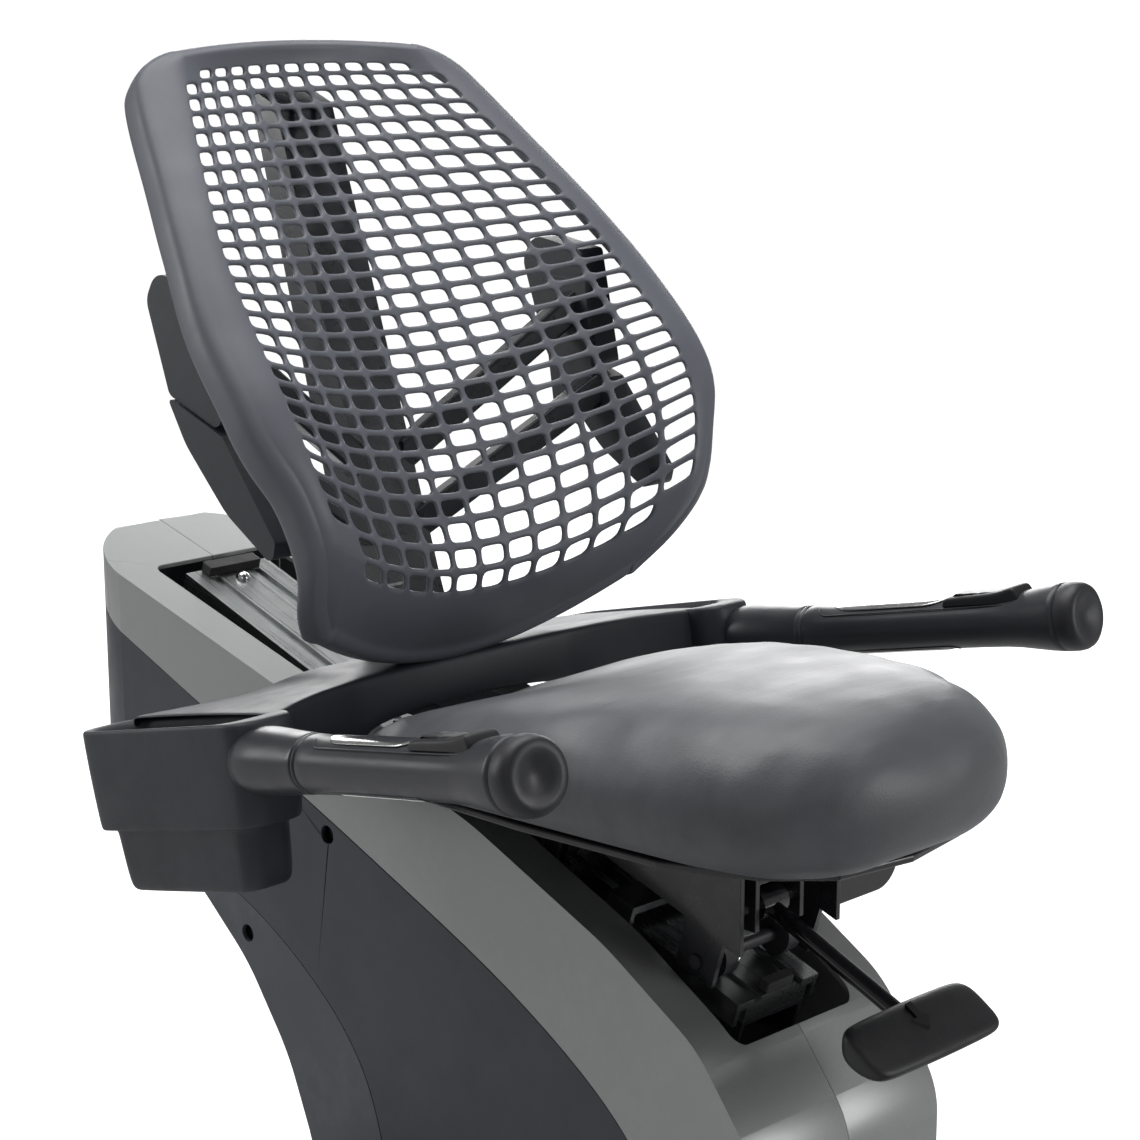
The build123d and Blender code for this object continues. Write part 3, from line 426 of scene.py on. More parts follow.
# colour, roughness range, scale of the lines on each axis, depth, wear, slope
BRUSHED = {
    "rail_aluminium": ((0.42, 0.44, 0.44), (0.22, 0.36), (400.0, 4.0, 400.0), 0.05, 0.1, -RAIL_TURN),
    "chrome": ((0.8, 0.8, 0.8), (0.07, 0.14), ALL_WAYS, 0.02),
    "rail_steel": ((0.3, 0.31, 0.32), (0.28, 0.4), (400.0, 4.0, 400.0), 0.05, 0.1, -RAIL_TURN),
    "sensor_steel": ((0.85, 0.85, 0.84), (0.12, 0.2), (300.0, 8.0, 300.0), 0.02),
    "bearing_steel": ((0.55, 0.55, 0.55), (0.2, 0.3)),
    "iron": ((0.25, 0.25, 0.25), (0.35, 0.5), (60.0, 60.0, 60.0), 0.1),
}

FINISH = {name: moulded(name, *values) for name, values in MOULDED.items()}
FINISH |= {name: coated_steel(name, *values) for name, values in COATED.items()}
FINISH |= {name: brushed(name, *values) for name, values in BRUSHED.items()}
FINISH["silver_shell"] = silver_paint("silver_shell", (0.34, 0.35, 0.345))
FINISH["cushion_skin"] = seat_skin("cushion_skin", (0.085, 0.089, 0.098))
FINISH["screen"] = display_glass("screen", (0.02, 0.028, 0.03))


# ------------ helpers for pieces


def add_mesh(name, points, faces, slot, body, stands_for=(), smooth=True):
    """A new piece from points in millimetres."""
    mesh = bpy.data.meshes.new(name)
    mesh.from_pydata([Vector(point) / 1000 for point in points], [], faces)
    mesh.validate()
    piece = bpy.data.objects.new(name, mesh)
    bpy.context.scene.collection.objects.link(piece)
    return settle(piece, slot, body, stands_for, smooth)


def settle(piece, slot, body, stands_for=(), smooth=True):
    """Outward faces, finish and body for a piece."""
    shape = bmesh.new()
    shape.from_mesh(piece.data)
    bmesh.ops.recalc_face_normals(shape, faces=shape.faces)
    shape.to_mesh(piece.data)
    shape.free()
    for polygon in piece.data.polygons:
        polygon.use_smooth = smooth
    piece.data.materials.clear()
    piece.data.materials.append(FINISH[slot])
    slot if slot in SLOT_OF.values() else SLOT_FOR_EXTRA[slot]
    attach(piece, body)
    if stands_for:
        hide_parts(*stands_for)
    return piece


# record slots of the finishes that have none of their own
SLOT_FOR_EXTRA = {
    "screw_black": SLOT_OF["tower_screws"],
    "scale_white": "scale_black",
    "mark_black": "black_plastic",
}


def soften(piece, levels=2):
    modifier = piece.modifiers.new("soften", "SUBSURF")
    modifier.levels = levels
    modifier.render_levels = levels
    return piece


def round_corners(piece, width, segments=3, angle=32):
    """Small radius on sharp edges, in millimetres."""
    weld = piece.modifiers.new("weld", "WELD")
    weld.merge_threshold = 0.00001
    bevel = piece.modifiers.new("corners", "BEVEL")
    bevel.width = width / 1000
    bevel.segments = segments
    bevel.limit_method = "ANGLE"
    bevel.angle_limit = math.radians(angle)
    bevel.use_clamp_overlap = True
    bevel.harden_normals = False
    return piece


def mirrored_points(points):
    return [(-x, y, z) for x, y, z in points]


def smooth_value(table, place, column):
    """Reads a column of a table of rows by place, curving smoothly through the rows."""
    index = 0
    while index < len(table) - 2 and place > table[index + 1][0]:
        index += 1
    before = table[max(index - 1, 0)]
    left, right = table[index], table[index + 1]
    after = table[min(index + 2, len(table) - 1)]
    span = right[0] - left[0]
    share = (place - left[0]) / span
    slope_in = (right[column] - before[column]) / max(right[0] - before[0], 1e-6) * span
    slope_out = (after[column] - left[column]) / max(after[0] - left[0], 1e-6) * span
    t2, t3 = share * share, share ** 3
    value = (2 * t3 - 3 * t2 + 1) * left[column] + (t3 - 2 * t2 + share) * slope_in
    return value + (3 * t2 - 2 * t3) * right[column] + (t3 - t2) * slope_out


def strip_faces(rows, columns, closed_across=False):
    """Quads between rows of points, each row having the same number of columns."""
    faces = []
    across = columns if closed_across else columns - 1
    for row in range(rows - 1):
        for column in range(across):
            right = (column + 1) % columns
            faces.append((row * columns + column, row * columns + right,
                          (row + 1) * columns + right, (row + 1) * columns + column))
    return faces


# ------------ backrest

# row of holes, Y and Z at the row's ends, half its width, and how far back and down its middle lies
BACK_SHAPE = [
    (-2.2, 586, 994, 105, 10, -6),
    (2, 562, 965, 121, 30, -1),
    (10, 467, 872, 167.5, 41, 7),
    (15, 418, 820, 179.5, 42, 20),
    (20, 371, 768, 185.5, 44, 34),
    (24, 347, 720, 180, 41, 46),
    (27, 342, 667, 164.5, 34, 46),
    (31, 384, 600, 140, 35, 44),
]
# half the panel's width at some of the rows, before the edge rolls back
BACK_EDGE = [(-1.1, 112), (-0.7, 122), (0, 132), (1, 142), (2, 149), (6, 169), (10, 189)]
BACK_EDGE += [(15, 206), (20, 210), (22, 206), (24, 194), (27, 178), (29, 165), (30.4, 148)]
HOLE_ROWS = 27
HOLE_COLUMNS = 13
WEB = 5.2
# half a hole's height and its corner's, in rows, and the corner's width in millimetres
HOLE_HALF = 0.345
HOLE_CORNER = 0.07
CORNER_WIDTH = 1.3
PANEL_THICK = 3.4


def back_point(row, across):
    """A point on the panel's front face. across is -1 to 1 over the holes, and 2 at the outer edge."""
    end_y, end_z, half, recess, droop = [smooth_value(BACK_SHAPE, row, column) for column in range(1, 6)]
    side = math.copysign(1, across)
    inside = min(abs(across), 1)
    x = inside * half
    depth = 1 - inside * inside
    y = end_y + recess * depth
    z = end_z - droop * depth
    beyond = abs(across) - 1
    if beyond > 0:
        width = max(smooth_value(BACK_EDGE, row, 1) - half, 0)
        x += beyond * width
        y += -0.22 * width * beyond * (1 - beyond) + 0.1 * width * beyond * beyond
    return (side * x, y, z)


def hole_edges(row):
    """Fractions across a row where each hole and its rounded corners start and stop."""
    half = smooth_value(BACK_SHAPE, max(row, 1), 3)
    pitch = (2 * half + WEB) / HOLE_COLUMNS
    hole = (pitch - WEB) / 2
    shoulder = hole - CORNER_WIDTH
    fractions = []
    for column in range(HOLE_COLUMNS):
        middle = (column - 6) * pitch
        fractions += [(middle + offset) / half for offset in (-hole, -shoulder, shoulder, hole)]
    return fractions


def back_rows():
    """Row lines: the top border, four for each row of holes, and the bottom border."""
    lines = [-1.1, -0.9, -0.6, -0.2, 0.2, 0.4]
    for row in range(1, HOLE_ROWS + 1):
        lines += [row - HOLE_HALF, row - HOLE_HALF + HOLE_CORNER]
        lines += [row + HOLE_HALF - HOLE_CORNER, row + HOLE_HALF]
    return lines + [27.8, 28.4, 29, 29.6, 30.1, 30.4]


BORDER_STEPS = [1.12, 1.3, 1.5, 1.7, 1.85, 1.95, 2]
BLOCKED_HOLE = (26, 0)


def backrest_panel():
    """Dished shell with 27 rows of slots, a rounded border and a deep flange behind its edge."""
    points, rows = [], back_rows()
    for row in rows:
        line = [-step for step in reversed(BORDER_STEPS)] + hole_edges(row) + BORDER_STEPS
        points += [back_point(row, across) for across in line]
    columns = 4 * HOLE_COLUMNS + 2 * len(BORDER_STEPS)
    first_column, first_row = len(BORDER_STEPS), 6
    open_cells = set()
    corner_cells = {}
    for row in range(1, HOLE_ROWS + 1):
        used = range(1, 12) if row in (1, HOLE_ROWS) else range(HOLE_COLUMNS)
        for column in used:
            if (row, column) == BLOCKED_HOLE:
                continue
            top, left = first_row + 4 * (row - 1), first_column + 4 * column
            for down in range(3):
                for right in range(3):
                    open_cells.add((top + down, left + right))
            for down, right in ((0, 0), (0, 2), (2, 0), (2, 2)):
                corner_cells[(top + down, left + right)] = (down, right)
    faces = []
    for row in range(len(rows) - 1):
        for column in range(columns - 1):
            corners = {
                (0, 0): row * columns + column, (0, 2): row * columns + column + 1,
                (2, 2): (row + 1) * columns + column + 1, (2, 0): (row + 1) * columns + column,
            }
            loop = [(0, 0), (0, 2), (2, 2), (2, 0)]
            if (row, column) in corner_cells:
                outer = corner_cells[(row, column)]
                opposite = (2 - outer[0], 2 - outer[1])
                faces.append(tuple(corners[key] for key in loop if key != opposite))
            elif (row, column) not in open_cells:
                faces.append(tuple(corners[key] for key in loop))
    piece = add_mesh("backrest_shell", points, faces, "back_plastic", "seat", ["backrest_panel"])
    add_flange(piece, columns, len(rows))
    thick = piece.modifiers.new("wall", "SOLIDIFY")
    thick.thickness = PANEL_THICK / 1000
    thick.offset = 0.0
    thick.use_even_offset = False
    return soften(piece, 1)


# how far out and how far back the rolled edge reaches, step by step
FLANGE_STEPS = [(3.4, 0.7), (6.4, 2.7), (8.3, 5.8), (9, 10), (9, 18), (8.4, 26)]


def add_flange(piece, columns, rows):
    """Turns the outer edge of the panel round and back."""
    shape = bmesh.new()
    shape.from_mesh(piece.data)
    shape.verts.ensure_lookup_table()
    last = (rows - 1) * columns
    rim = [shape.verts[i] for i in range(columns)]
    rim += [shape.verts[r * columns + columns - 1] for r in range(1, rows)]
    rim += [shape.verts[last + c] for c in range(columns - 2, -1, -1)]
    rim += [shape.verts[r * columns] for r in range(rows - 2, 0, -1)]
    centre = Vector((0, 0.42, 0.76))
    ring = rim
    for outward, back in FLANGE_STEPS:
        fresh = []
        for index, original in enumerate(rim):
            along = rim[(index + 1) % len(rim)].co - rim[index - 1].co
            low = max(0.0, min(1.0, (0.72 - original.co.z) / 0.12))
            rear = Vector((0, 0.74 + 0.25 * low, -0.66 + 0.5 * low)).normalized()
            away = along.cross(rear).normalized()
            if away.dot(original.co - centre) < 0:
                away.negate()
            fresh.append(shape.verts.new(original.co + (away * outward + rear * back) / 1000))
        for index in range(len(ring)):
            following = (index + 1) % len(ring)
            shape.faces.new((ring[index], ring[following], fresh[following], fresh[index]))
        ring = fresh
    bmesh.ops.recalc_face_normals(shape, faces=shape.faces)
    shape.to_mesh(piece.data)
    shape.free()
    for polygon in piece.data.polygons:
        polygon.use_smooth = True


# ------------ seat cushion

# Y, half width, height of the middle of the top, rise of the sides, underside height
CUSHION_STATIONS = [
    (-38, 38, 560, 0, 540),
    (-35, 62, 574, 0, 524),
    (-26, 86, 586, -2, 512),
    (-8, 112, 595, -3, 505),
    (18, 134, 600, -3, 502),
    (60, 150, 602, -1, 501),
    (110, 158, 598, 3, 501),
    (165, 165, 590, 8, 501),
    (220, 171, 577, 14, 502),
    (270, 175, 562, 18, 503),
    (315, 172, 548, 18, 505),
    (350, 158, 537, 14, 507),
    (378, 128, 530, 7, 509),
    (390, 96, 524, 2, 512),
    (395, 66, 520, 0, 515),
]
CUSHION_POINTS = 28


def cushion_section(y, half, top, rise, low):
    """Closed cross outline at one station: flat below, full at the sides, crowned or dished on top."""
    points = []
    for index in range(CUSHION_POINTS):
        angle = 2 * math.pi * index / CUSHION_POINTS
        across = math.copysign(abs(math.cos(angle)) ** 0.62, math.cos(angle))
        up = math.copysign(abs(math.sin(angle)) ** 0.8, math.sin(angle))
        side = abs(across)
        crest = top + rise * side ** 2
        middle = low + (crest - low) * 0.42
        z = middle + (crest - middle) * up if up > 0 else middle + (middle - low) * up
        points.append((half * across, y, z))
    return points


def seat_cushion():
    """Foam seat: a lofted form, blown up a little by cloth pressure, then smoothed."""
    points, faces = [], []
    for station in CUSHION_STATIONS:
        points += cushion_section(*station)
    faces += strip_faces(len(CUSHION_STATIONS), CUSHION_POINTS, True)
    for start in (0, (len(CUSHION_STATIONS) - 1) * CUSHION_POINTS):
        faces.append(tuple(range(start, start + CUSHION_POINTS)))
    piece = add_mesh("seat_cushion_foam", points, faces, "cushion_skin", "seat", ["seat_cushion"])
    remesh = piece.modifiers.new("remesh", "REMESH")
    remesh.mode = "VOXEL"
    remesh.voxel_size = 0.006
    apply_modifiers(piece)
    puff(piece, 0.005)
    smooth = piece.modifiers.new("relax", "SMOOTH")
    smooth.factor = 0.5
    smooth.iterations = 14
    apply_modifiers(piece)
    soften(piece, 1)
    return piece


def apply_modifiers(piece):
    """Bakes the piece's modifiers into its mesh."""
    graph = bpy.context.evaluated_depsgraph_get()
    final = bpy.data.meshes.new_from_object(piece.evaluated_get(graph))
    slots = [slot.material for slot in piece.material_slots]
    piece.modifiers.clear()
    piece.data = final
    piece.data.materials.clear()
    for material in slots:
        piece.data.materials.append(material)
    for polygon in piece.data.polygons:
        polygon.use_smooth = True


def puff(piece, most):
    """Blows the form up with cloth pressure; no point moves more than most metres."""
    before = [vertex.co.copy() for vertex in piece.data.vertices]
    cloth = piece.modifiers.new("cloth", "CLOTH")
    cloth.settings.use_pressure = True
    cloth.settings.uniform_pressure_force = 4
    cloth.settings.effector_weights.gravity = 0
    cloth.settings.quality = 4
    scene = bpy.context.scene
    for number in range(1, 21):
        scene.frame_set(number)
    graph = bpy.context.evaluated_depsgraph_get()
    after = [vertex.co.copy() for vertex in piece.evaluated_get(graph).data.vertices]
    piece.modifiers.clear()
    scene.frame_set(1)
    for vertex, old, new in zip(piece.data.vertices, before, after):
        move = new - old
        if old.z < 0.52:
            move.z = max(move.z, 0)
        if move.length > most:
            move *= most / move.length
        vertex.co = old + move


def seat_pan():
    """Pressed steel pan, hidden in the cushion's underside, with a tongue to the backrest."""
    plan = [(0, -14), (60, -4), (96, 30), (124, 90), (138, 200), (142, 290), (110, 350)]
    plan += [(46, 366), (45, 438), (0, 438)]
    plan += [(-x, y) for x, y in reversed(plan[1:-1])]
    points = [(x, y, z) for z in (505.4, 510.6) for x, y in plan]
    count = len(plan)
    faces = [tuple(range(count)), tuple(range(2 * count - 1, count - 1, -1))]
    faces += [(i, (i + 1) % count, count + (i + 1) % count, count + i) for i in range(count)]
    piece = add_mesh("seat_pan_plate", points, faces, SLOT_OF["seat_pan"], "seat", ["seat_pan"], False)
    return round_corners(piece, 1.5)


# ------------ pods and bridge

POD_TURN = Matrix.Translation(Vector((-9, 345, 571))) @ Matrix.Rotation(math.radians(-14), 4, "X")


def slot_outline(low_x, high_x, low_y, high_y, corner, count=6):
    """Rounded rectangle in plan, anticlockwise."""
    points = []
    centres = [(high_x - corner, high_y - corner, 0), (low_x + corner, high_y - corner, 90),
               (low_x + corner, low_y + corner, 180), (high_x - corner, low_y + corner, 270)]
    for x, y, start in centres:
        for step in range(count):
            angle = math.radians(start + 90 * step / (count - 1))
            points.append((x + corner * math.cos(angle), y + corner * math.sin(angle)))
    return points


def pod(side):
    """Side pod: a deep pocket inside a tray with a rolled rim, and a narrower cup below."""
    rings = []

    def ring(low_x, high_x, low_y, high_y, corner, z):
        rings.append([(x, y, z) for x, y in slot_outline(low_x, high_x, low_y, high_y, corner)])

    ring(214, 254, 40, 176, 12, -108)
    ring(213.5, 254.5, 39, 177, 13, -104)
    ring(212, 256, 37, 190, 15, -14)
    ring(211, 257, 33, 196, 17, -4)
    ring(209.5, 258.5, 29, 199, 19, -0.6)
    ring(207.5, 260.5, 10, 203, 20, 0)
    ring(206.2, 261.8, 4, 205, 21, -1.5)
    ring(206, 262, 2, 205.5, 22, -5)
    ring(206, 262, 2, 205.5, 22, -30)
    ring(207, 261, 6, 204, 21, -66)
    ring(207.6, 260.4, 9, 203, 20, -71.2)
    ring(209, 259, 12, 201, 19, -72)
    ring(211.5, 256.5, 20, 188, 17, -72)
    ring(211.7, 256.3, 21, 187, 17, -74)
    ring(212.5, 255.5, 25, 184, 16, -108)
    ring(214, 254, 30, 181, 14, -115)
    ring(218, 250, 38, 174, 10, -117.5)
    columns = len(rings[0])
    points = [tuple(POD_TURN @ Vector(point)) for outline in rings for point in outline]
    faces = strip_faces(len(rings), columns, True)
    faces.append(tuple(range(columns)))
    faces.append(tuple(range((len(rings) - 1) * columns, len(rings) * columns)))
    if side < 0:
        points = mirrored_points(points)
    name = "side_pod_left" if side > 0 else "side_pod_right"
    return soften(add_mesh(name, points, faces, "pod_plastic", "seat", ["side_pods"]), 2)


# X, then Y and Z of the front foot, the front top edge, the rear top edge and the rear foot
BRIDGE_STATIONS = [
    (0, (412, 524), (417, 556), (484, 548)),
    (60, (409, 523), (414, 557), (484, 548)),
    (98, (402, 521), (407, 559), (484, 549)),
    (104, (401, 505), (406, 559.4), (528, 525)),
    (150, (385, 506), (391, 563), (529, 526)),
    (182, (370, 508), (377, 564), (530, 527)),
    (200, (360, 510), (367, 565), (530, 528)),
    (210, (354, 512), (361, 566), (530, 528)),
]


def bridge():
    """Moulding that sweeps behind the cushion from pod to pod, with a rounded front edge."""
    stations = [(-x, a, b, c) for x, a, b, c in reversed(BRIDGE_STATIONS[1:])] + BRIDGE_STATIONS
    points = []
    for x, foot, crest, rear in stations:
        lean = (rear[1] - crest[1]) / (rear[0] - crest[0])
        crest_back = (crest[0] + 9, crest[1] + 9 * lean + 0.5)
        middle = ((crest[0] + rear[0]) / 2, (crest[1] + rear[1]) / 2 + 1.5)
        line = [foot, (foot[0] + 1, foot[1] + 12)]
        line += [(crest[0] - 0.6, crest[1] - 6), (crest[0] + 1.5, crest[1] - 1)]
        line += [crest_back, middle]
        line += [(rear[0] - 5, rear[1] + 1.2), (rear[0], rear[1] - 1), (rear[0], rear[1] - 9)]
        points += [(x, y, z) for y, z in line]
    faces = strip_faces(len(stations), 9)
    piece = add_mesh("seat_bridge_cover", points, faces, "pod_plastic", "seat", ["seat_bridge"])
    thick = piece.modifiers.new("wall", "SOLIDIFY")
    thick.thickness = 0.003
    thick.offset = -1.0
    return soften(piece, 2)


# ------------ side handles

HANDLE_ROOT = Vector((233, 349, 541))
HANDLE_TIP = Vector((266, 37, 609))


def handle_frame(side):
    """Turns (across, up, along) on a handle into a place, in millimetres."""
    along = (HANDLE_TIP - HANDLE_ROOT).normalized()
    across = Vector((0, 0, 1)).cross(along).normalized()
    upward = along.cross(across)

    def place(right, up, distance):
        point = HANDLE_ROOT + along * distance + across * right + upward * up
        return (side * point.x, point.y, point.z)

    return place


def turned_piece(name, profile, side, slot, stands_for=(), count=40, flatten=None):
    """Round piece about a handle's axis, from (distance, radius) pairs."""
    place = handle_frame(side)
    points = []
    for distance, radius in profile:
        for index in range(count):
            angle = 2 * math.pi * index / count
            right, up = radius * math.cos(angle), radius * math.sin(angle)
            if flatten:
                right, up = flatten(distance, right, up)
            points.append(place(right, up, distance))
    faces = strip_faces(len(profile), count, True)
    faces.append(tuple(range(count)))
    faces.append(tuple(range((len(profile) - 1) * count, len(profile) * count)))
    return add_mesh(name, points, faces, slot, "seat", stands_for)


COLLAR_PROFILE = [
    (-4, 22), (4, 22.8), (18, 23), (24, 22.6), (37, 21.8), (50, 20.9), (58, 20.4), (66, 20.1),
    (69, 20), (70, 19.8), (70.4, 18.6), (71.4, 18.6), (71.8, 19.7), (73.6, 19.7), (74, 18.6), (75, 18.6),
]
GRIP_PROFILE = [
    (75, 18.4), (75.4, 19.2), (77, 19.5), (84, 19.3), (95, 19), (130, 18.6), (170, 18.5), (200, 18.5),
    (225, 18.7), (245, 19.2), (258, 20.2), (270, 21.8), (282, 23.4), (290, 24.2), (296, 24.5),
]
CAP_PROFILE = [
    (296.2, 24.3), (296.8, 24.5), (303, 24.5), (307, 23.9), (310, 22.4), (311.6, 20), (311.6, 16), (310, 11),
    (308.2, 6), (307.4, 2),
]


def sensor_recess(distance, right, up):
    """Lets the grip's surface down where the pulse plates lie."""
    inside = max(0.0, min(1.0, (distance - 92) / 4)) * max(0.0, min(1.0, (262 - distance) / 6))
    if up > 9 and inside > 0:
        up -= 0.9 * inside * min(1.0, (up - 9) / 2)
    return right, up


def sensor_plate(name, side, low, high, half_angle, face_up):
    """Thin curved steel plate with rounded ends, standing just proud of the grip."""
    place = handle_frame(side)
    points, columns, rows = [], 9, 13
    for row in range(rows):
        share = row / (rows - 1)
        distance = low + (high - low) * share
        taper = min(1.0, math.sqrt(max(0.02, min(share, 1 - share) * 9)))
        for column in range(columns):
            angle = math.radians(half_angle * taper) * (2 * column / (columns - 1) - 1)
            radius = 18.75
            points.append(place(radius * math.sin(angle), face_up * radius * math.cos(angle), distance))
    piece = add_mesh(name, points, strip_faces(rows, columns), "sensor_steel", "seat", ["pulse_sensors"])
    thick = piece.modifiers.new("wall", "SOLIDIFY")
    thick.thickness = 0.0012
    thick.offset = 0.0
    return soften(piece, 1)


def trim_line(name, side, outline, radius, slot):
    """Fine raised bead that follows a closed outline of (distance, angle in degrees) on the grip."""
    place = handle_frame(side)
    curve = bpy.data.curves.new(name, "CURVE")
    curve.dimensions = "3D"
    curve.bevel_depth = 0.00045
    curve.bevel_resolution = 2
    spline = curve.splines.new("POLY")
    spline.points.add(len(outline) - 1)
    for point, (distance, degrees) in zip(spline.points, outline):
        angle = math.radians(degrees)
        x, y, z = place(radius * math.sin(angle), radius * math.cos(angle), distance)
        point.co = (x / 1000, y / 1000, z / 1000, 1)
    spline.use_cyclic_u = True
    shaped = bpy.data.objects.new(name, curve)
    bpy.context.scene.collection.objects.link(shaped)
    graph = bpy.context.evaluated_depsgraph_get()
    mesh = bpy.data.meshes.new_from_object(shaped.evaluated_get(graph))
    bpy.data.objects.remove(shaped)
    piece = bpy.data.objects.new(name, mesh)
    bpy.context.scene.collection.objects.link(piece)
    return settle(piece, slot, "seat")


def rounded_panel(low, high, half_angle, corner, count=8):
    """Closed outline of a rounded rectangle wrapped on the grip."""
    points = []
    scale = half_angle / 18
    for x, y in slot_outline(low, high, -half_angle / scale, half_angle / scale, corner, count):
        points.append((x, y * scale))
    return points


def key_pod(side):
    """Raised control pod with a front lip, over the grip's top."""
    place = handle_frame(side)
    columns = [
        (-12.5, 14.5), (-12.6, 18.6), (-11.4, 20.4), (-9, 21),
        (9, 21), (11.4, 20.4), (12.6, 18.6), (12.5, 14.5),
    ]
    rows = [
        (199, -4.5), (200.5, -1.2), (203, -0.3), (212, 0.2), (228, 0.6), (244, 1.3),
        (252, 3.0), (257, 4.4), (260, 4.2), (262, 1.2), (264, -4),
    ]
    points = []
    for distance, lift in rows:
        points += [place(right, up + (lift if up > 15 else 0), distance) for right, up in columns]
    faces = strip_faces(len(rows), len(columns))
    faces.append(tuple(range(len(columns))))
    faces.append(tuple(range((len(rows) - 1) * len(columns), len(rows) * len(columns))))
    name = "key_pod_cover_left" if side > 0 else "key_pod_cover_right"
    piece = add_mesh(name, points, faces, "black_plastic", "seat", ["key_pods"])
    return soften(piece, 2)


def rocker_key(side):
    """Rocker with two dished pads."""
    place = handle_frame(side)
    body = "key_left" if side > 0 else "key_right"
    rows = [
        (207, 20.8), (208, 22.4), (210, 23.2), (217, 22.4), (224, 23.0), (227, 22.4),
        (229, 22.4), (232, 23.0), (239, 22.4), (246, 23.2), (248, 22.4), (249, 20.9),
    ]
    columns = [(-8.3, 0.9), (-7.6, 0), (0, 0.5), (7.6, 0), (8.3, 0.9)]
    points = []
    for distance, up in rows:
        points += [place(x, up - drop, distance) for x, drop in columns]
    faces = strip_faces(len(rows), len(columns))
    piece = add_mesh(f"rocker_{body}", points, faces, "key_rubber", body, [f"rocker_{body}"])
    thick = piece.modifiers.new("wall", "SOLIDIFY")
    thick.thickness = 0.0015
    thick.offset = -1.0
    return soften(piece, 2)


def handles():
    for side, word in ((1, "left"), (-1, "right")):
        rooted = ["handle_collars", "handle_tubes"]
        turned_piece(f"collar_{word}", COLLAR_PROFILE, side, "grip_plastic", rooted)
        grip = f"grip_{word}"
        turned_piece(grip, GRIP_PROFILE, side, "grip_plastic", ["handle_grips"], 64, sensor_recess)
        turned_piece(f"cap_{word}", CAP_PROFILE, side, "cap_plastic", ["grip_caps"])
        sensor_plate(f"pulse_plate_top_{word}", side, 97, 199, 34, 1)
        sensor_plate(f"pulse_plate_low_{word}", side, 97, 197, 26, -1)
        trim_line(f"top_bead_{word}", side, rounded_panel(88, 258, 46, 9), 18.9, "grip_plastic")
        below = [(d, a + 180) for d, a in rounded_panel(90, 206, 36, 8)]
        trim_line(f"low_bead_{word}", side, below, 18.8, "grip_plastic")
        key_pod(side)
        rocker_key(side)


# ------------ lever, scale and small details


def lever_grip():
    """T-shaped grip: flat top, bellied front, thin rear edge."""
    stations = [
        (-62.5, 0.55), (-60, 0.8), (-54, 0.97), (-38, 1), (0, 1.03),
        (38, 1), (54, 0.97), (60, 0.8), (62.5, 0.55),
    ]
    outline = [
        (-6, 410), (-14, 409.5), (-30, 401.5), (-46, 393), (-51, 388), (-49, 384),
        (-40, 380), (-24, 381), (-10, 386), (-4, 393), (-4, 404),
    ]
    centre = (-27, 395)
    points = []
    for x, size in stations:
        for y, z in outline:
            y = -6 + (y + 6) * 0.88
            points.append((x, centre[0] + (y - centre[0]) * size, centre[1] + (z - centre[1]) * size))
    count = len(outline)
    faces = strip_faces(len(stations), count, True)
    faces.append(tuple(range(count)))
    faces.append(tuple(range((len(stations) - 1) * count, len(stations) * count)))
    piece = add_mesh("lever_grip", points, faces, "black_plastic", "lever", ["lever_handle"])
    soften(piece, 2)
    arrow = [(-3, 0), (-3, 12), (-8, 12), (0, 21), (8, 12), (3, 12), (3, 0)]
    slope = Vector((0, -28, -16)).normalized()
    start = Vector((0, -13, 411.6))
    top = [tuple(start + Vector((x, 0, 0)) + slope * y) for x, y in arrow]
    below = [(x, y, z - 3) for x, y, z in top]
    count = len(arrow)
    faces = [tuple(range(count)), tuple(range(2 * count - 1, count - 1, -1))]
    faces += [(i, (i + 1) % count, count + (i + 1) % count, count + i) for i in range(count)]
    add_mesh("lever_arrow_mark", top + below, faces, "mark_black", "lever", smooth=False)


RAIL_TILT = Matrix.Translation(Vector((0, 585, 541))) @ Matrix.Rotation(RAIL_TURN, 4, "X")


def rail_box(name, low, high, slot, body="frame"):
    """Small block in rail coordinates."""
    points = []
    for x in (low[0], high[0]):
        for y in (low[1], high[1]):
            for z in (low[2], high[2]):
                points.append(tuple(RAIL_TILT @ Vector((x, y, z))))
    faces = [(0, 1, 3, 2), (4, 6, 7, 5), (0, 4, 5, 1), (2, 3, 7, 6), (0, 2, 6, 4), (1, 5, 7, 3)]
    return round_corners(add_mesh(name, points, faces, slot, body, smooth=False), 0.3, 1)


def scale_marks():
    """White lines and the digits 2, 3 and 4 on the black strip beside the rail."""
    for index in range(5):
        place = -497 + 33 * index
        low, high = (-58.3, place, -16.9), (-50, place + 1.2, -16.6)
        rail_box(f"scale_line_{index + 2}", low, high, "scale_white")
        curve = bpy.data.curves.new(f"digit_{index + 2}", "FONT")
        curve.body = str(index + 2)
        curve.size = 0.013
        curve.extrude = 0.0001
        curve.align_x = "CENTER"
        shaped = bpy.data.objects.new(curve.name, curve)
        bpy.context.scene.collection.objects.link(shaped)
        spot = RAIL_TILT @ Vector((-50.5, place + 4, -16.75))
        turn = Matrix.Rotation(RAIL_TURN, 4, "X") @ Matrix.Rotation(math.radians(180), 4, "Z")
        shaped.matrix_world = Matrix.Translation(spot / 1000) @ turn
        bpy.context.view_layer.update()
        graph = bpy.context.evaluated_depsgraph_get()
        mesh = bpy.data.meshes.new_from_object(shaped.evaluated_get(graph))
        mesh.transform(shaped.matrix_world)
        bpy.data.objects.remove(shaped)
        piece = bpy.data.objects.new(f"scale_digit_{index + 2}", mesh)
        bpy.context.scene.collection.objects.link(piece)
        settle(piece, "scale_white", "frame", smooth=False)


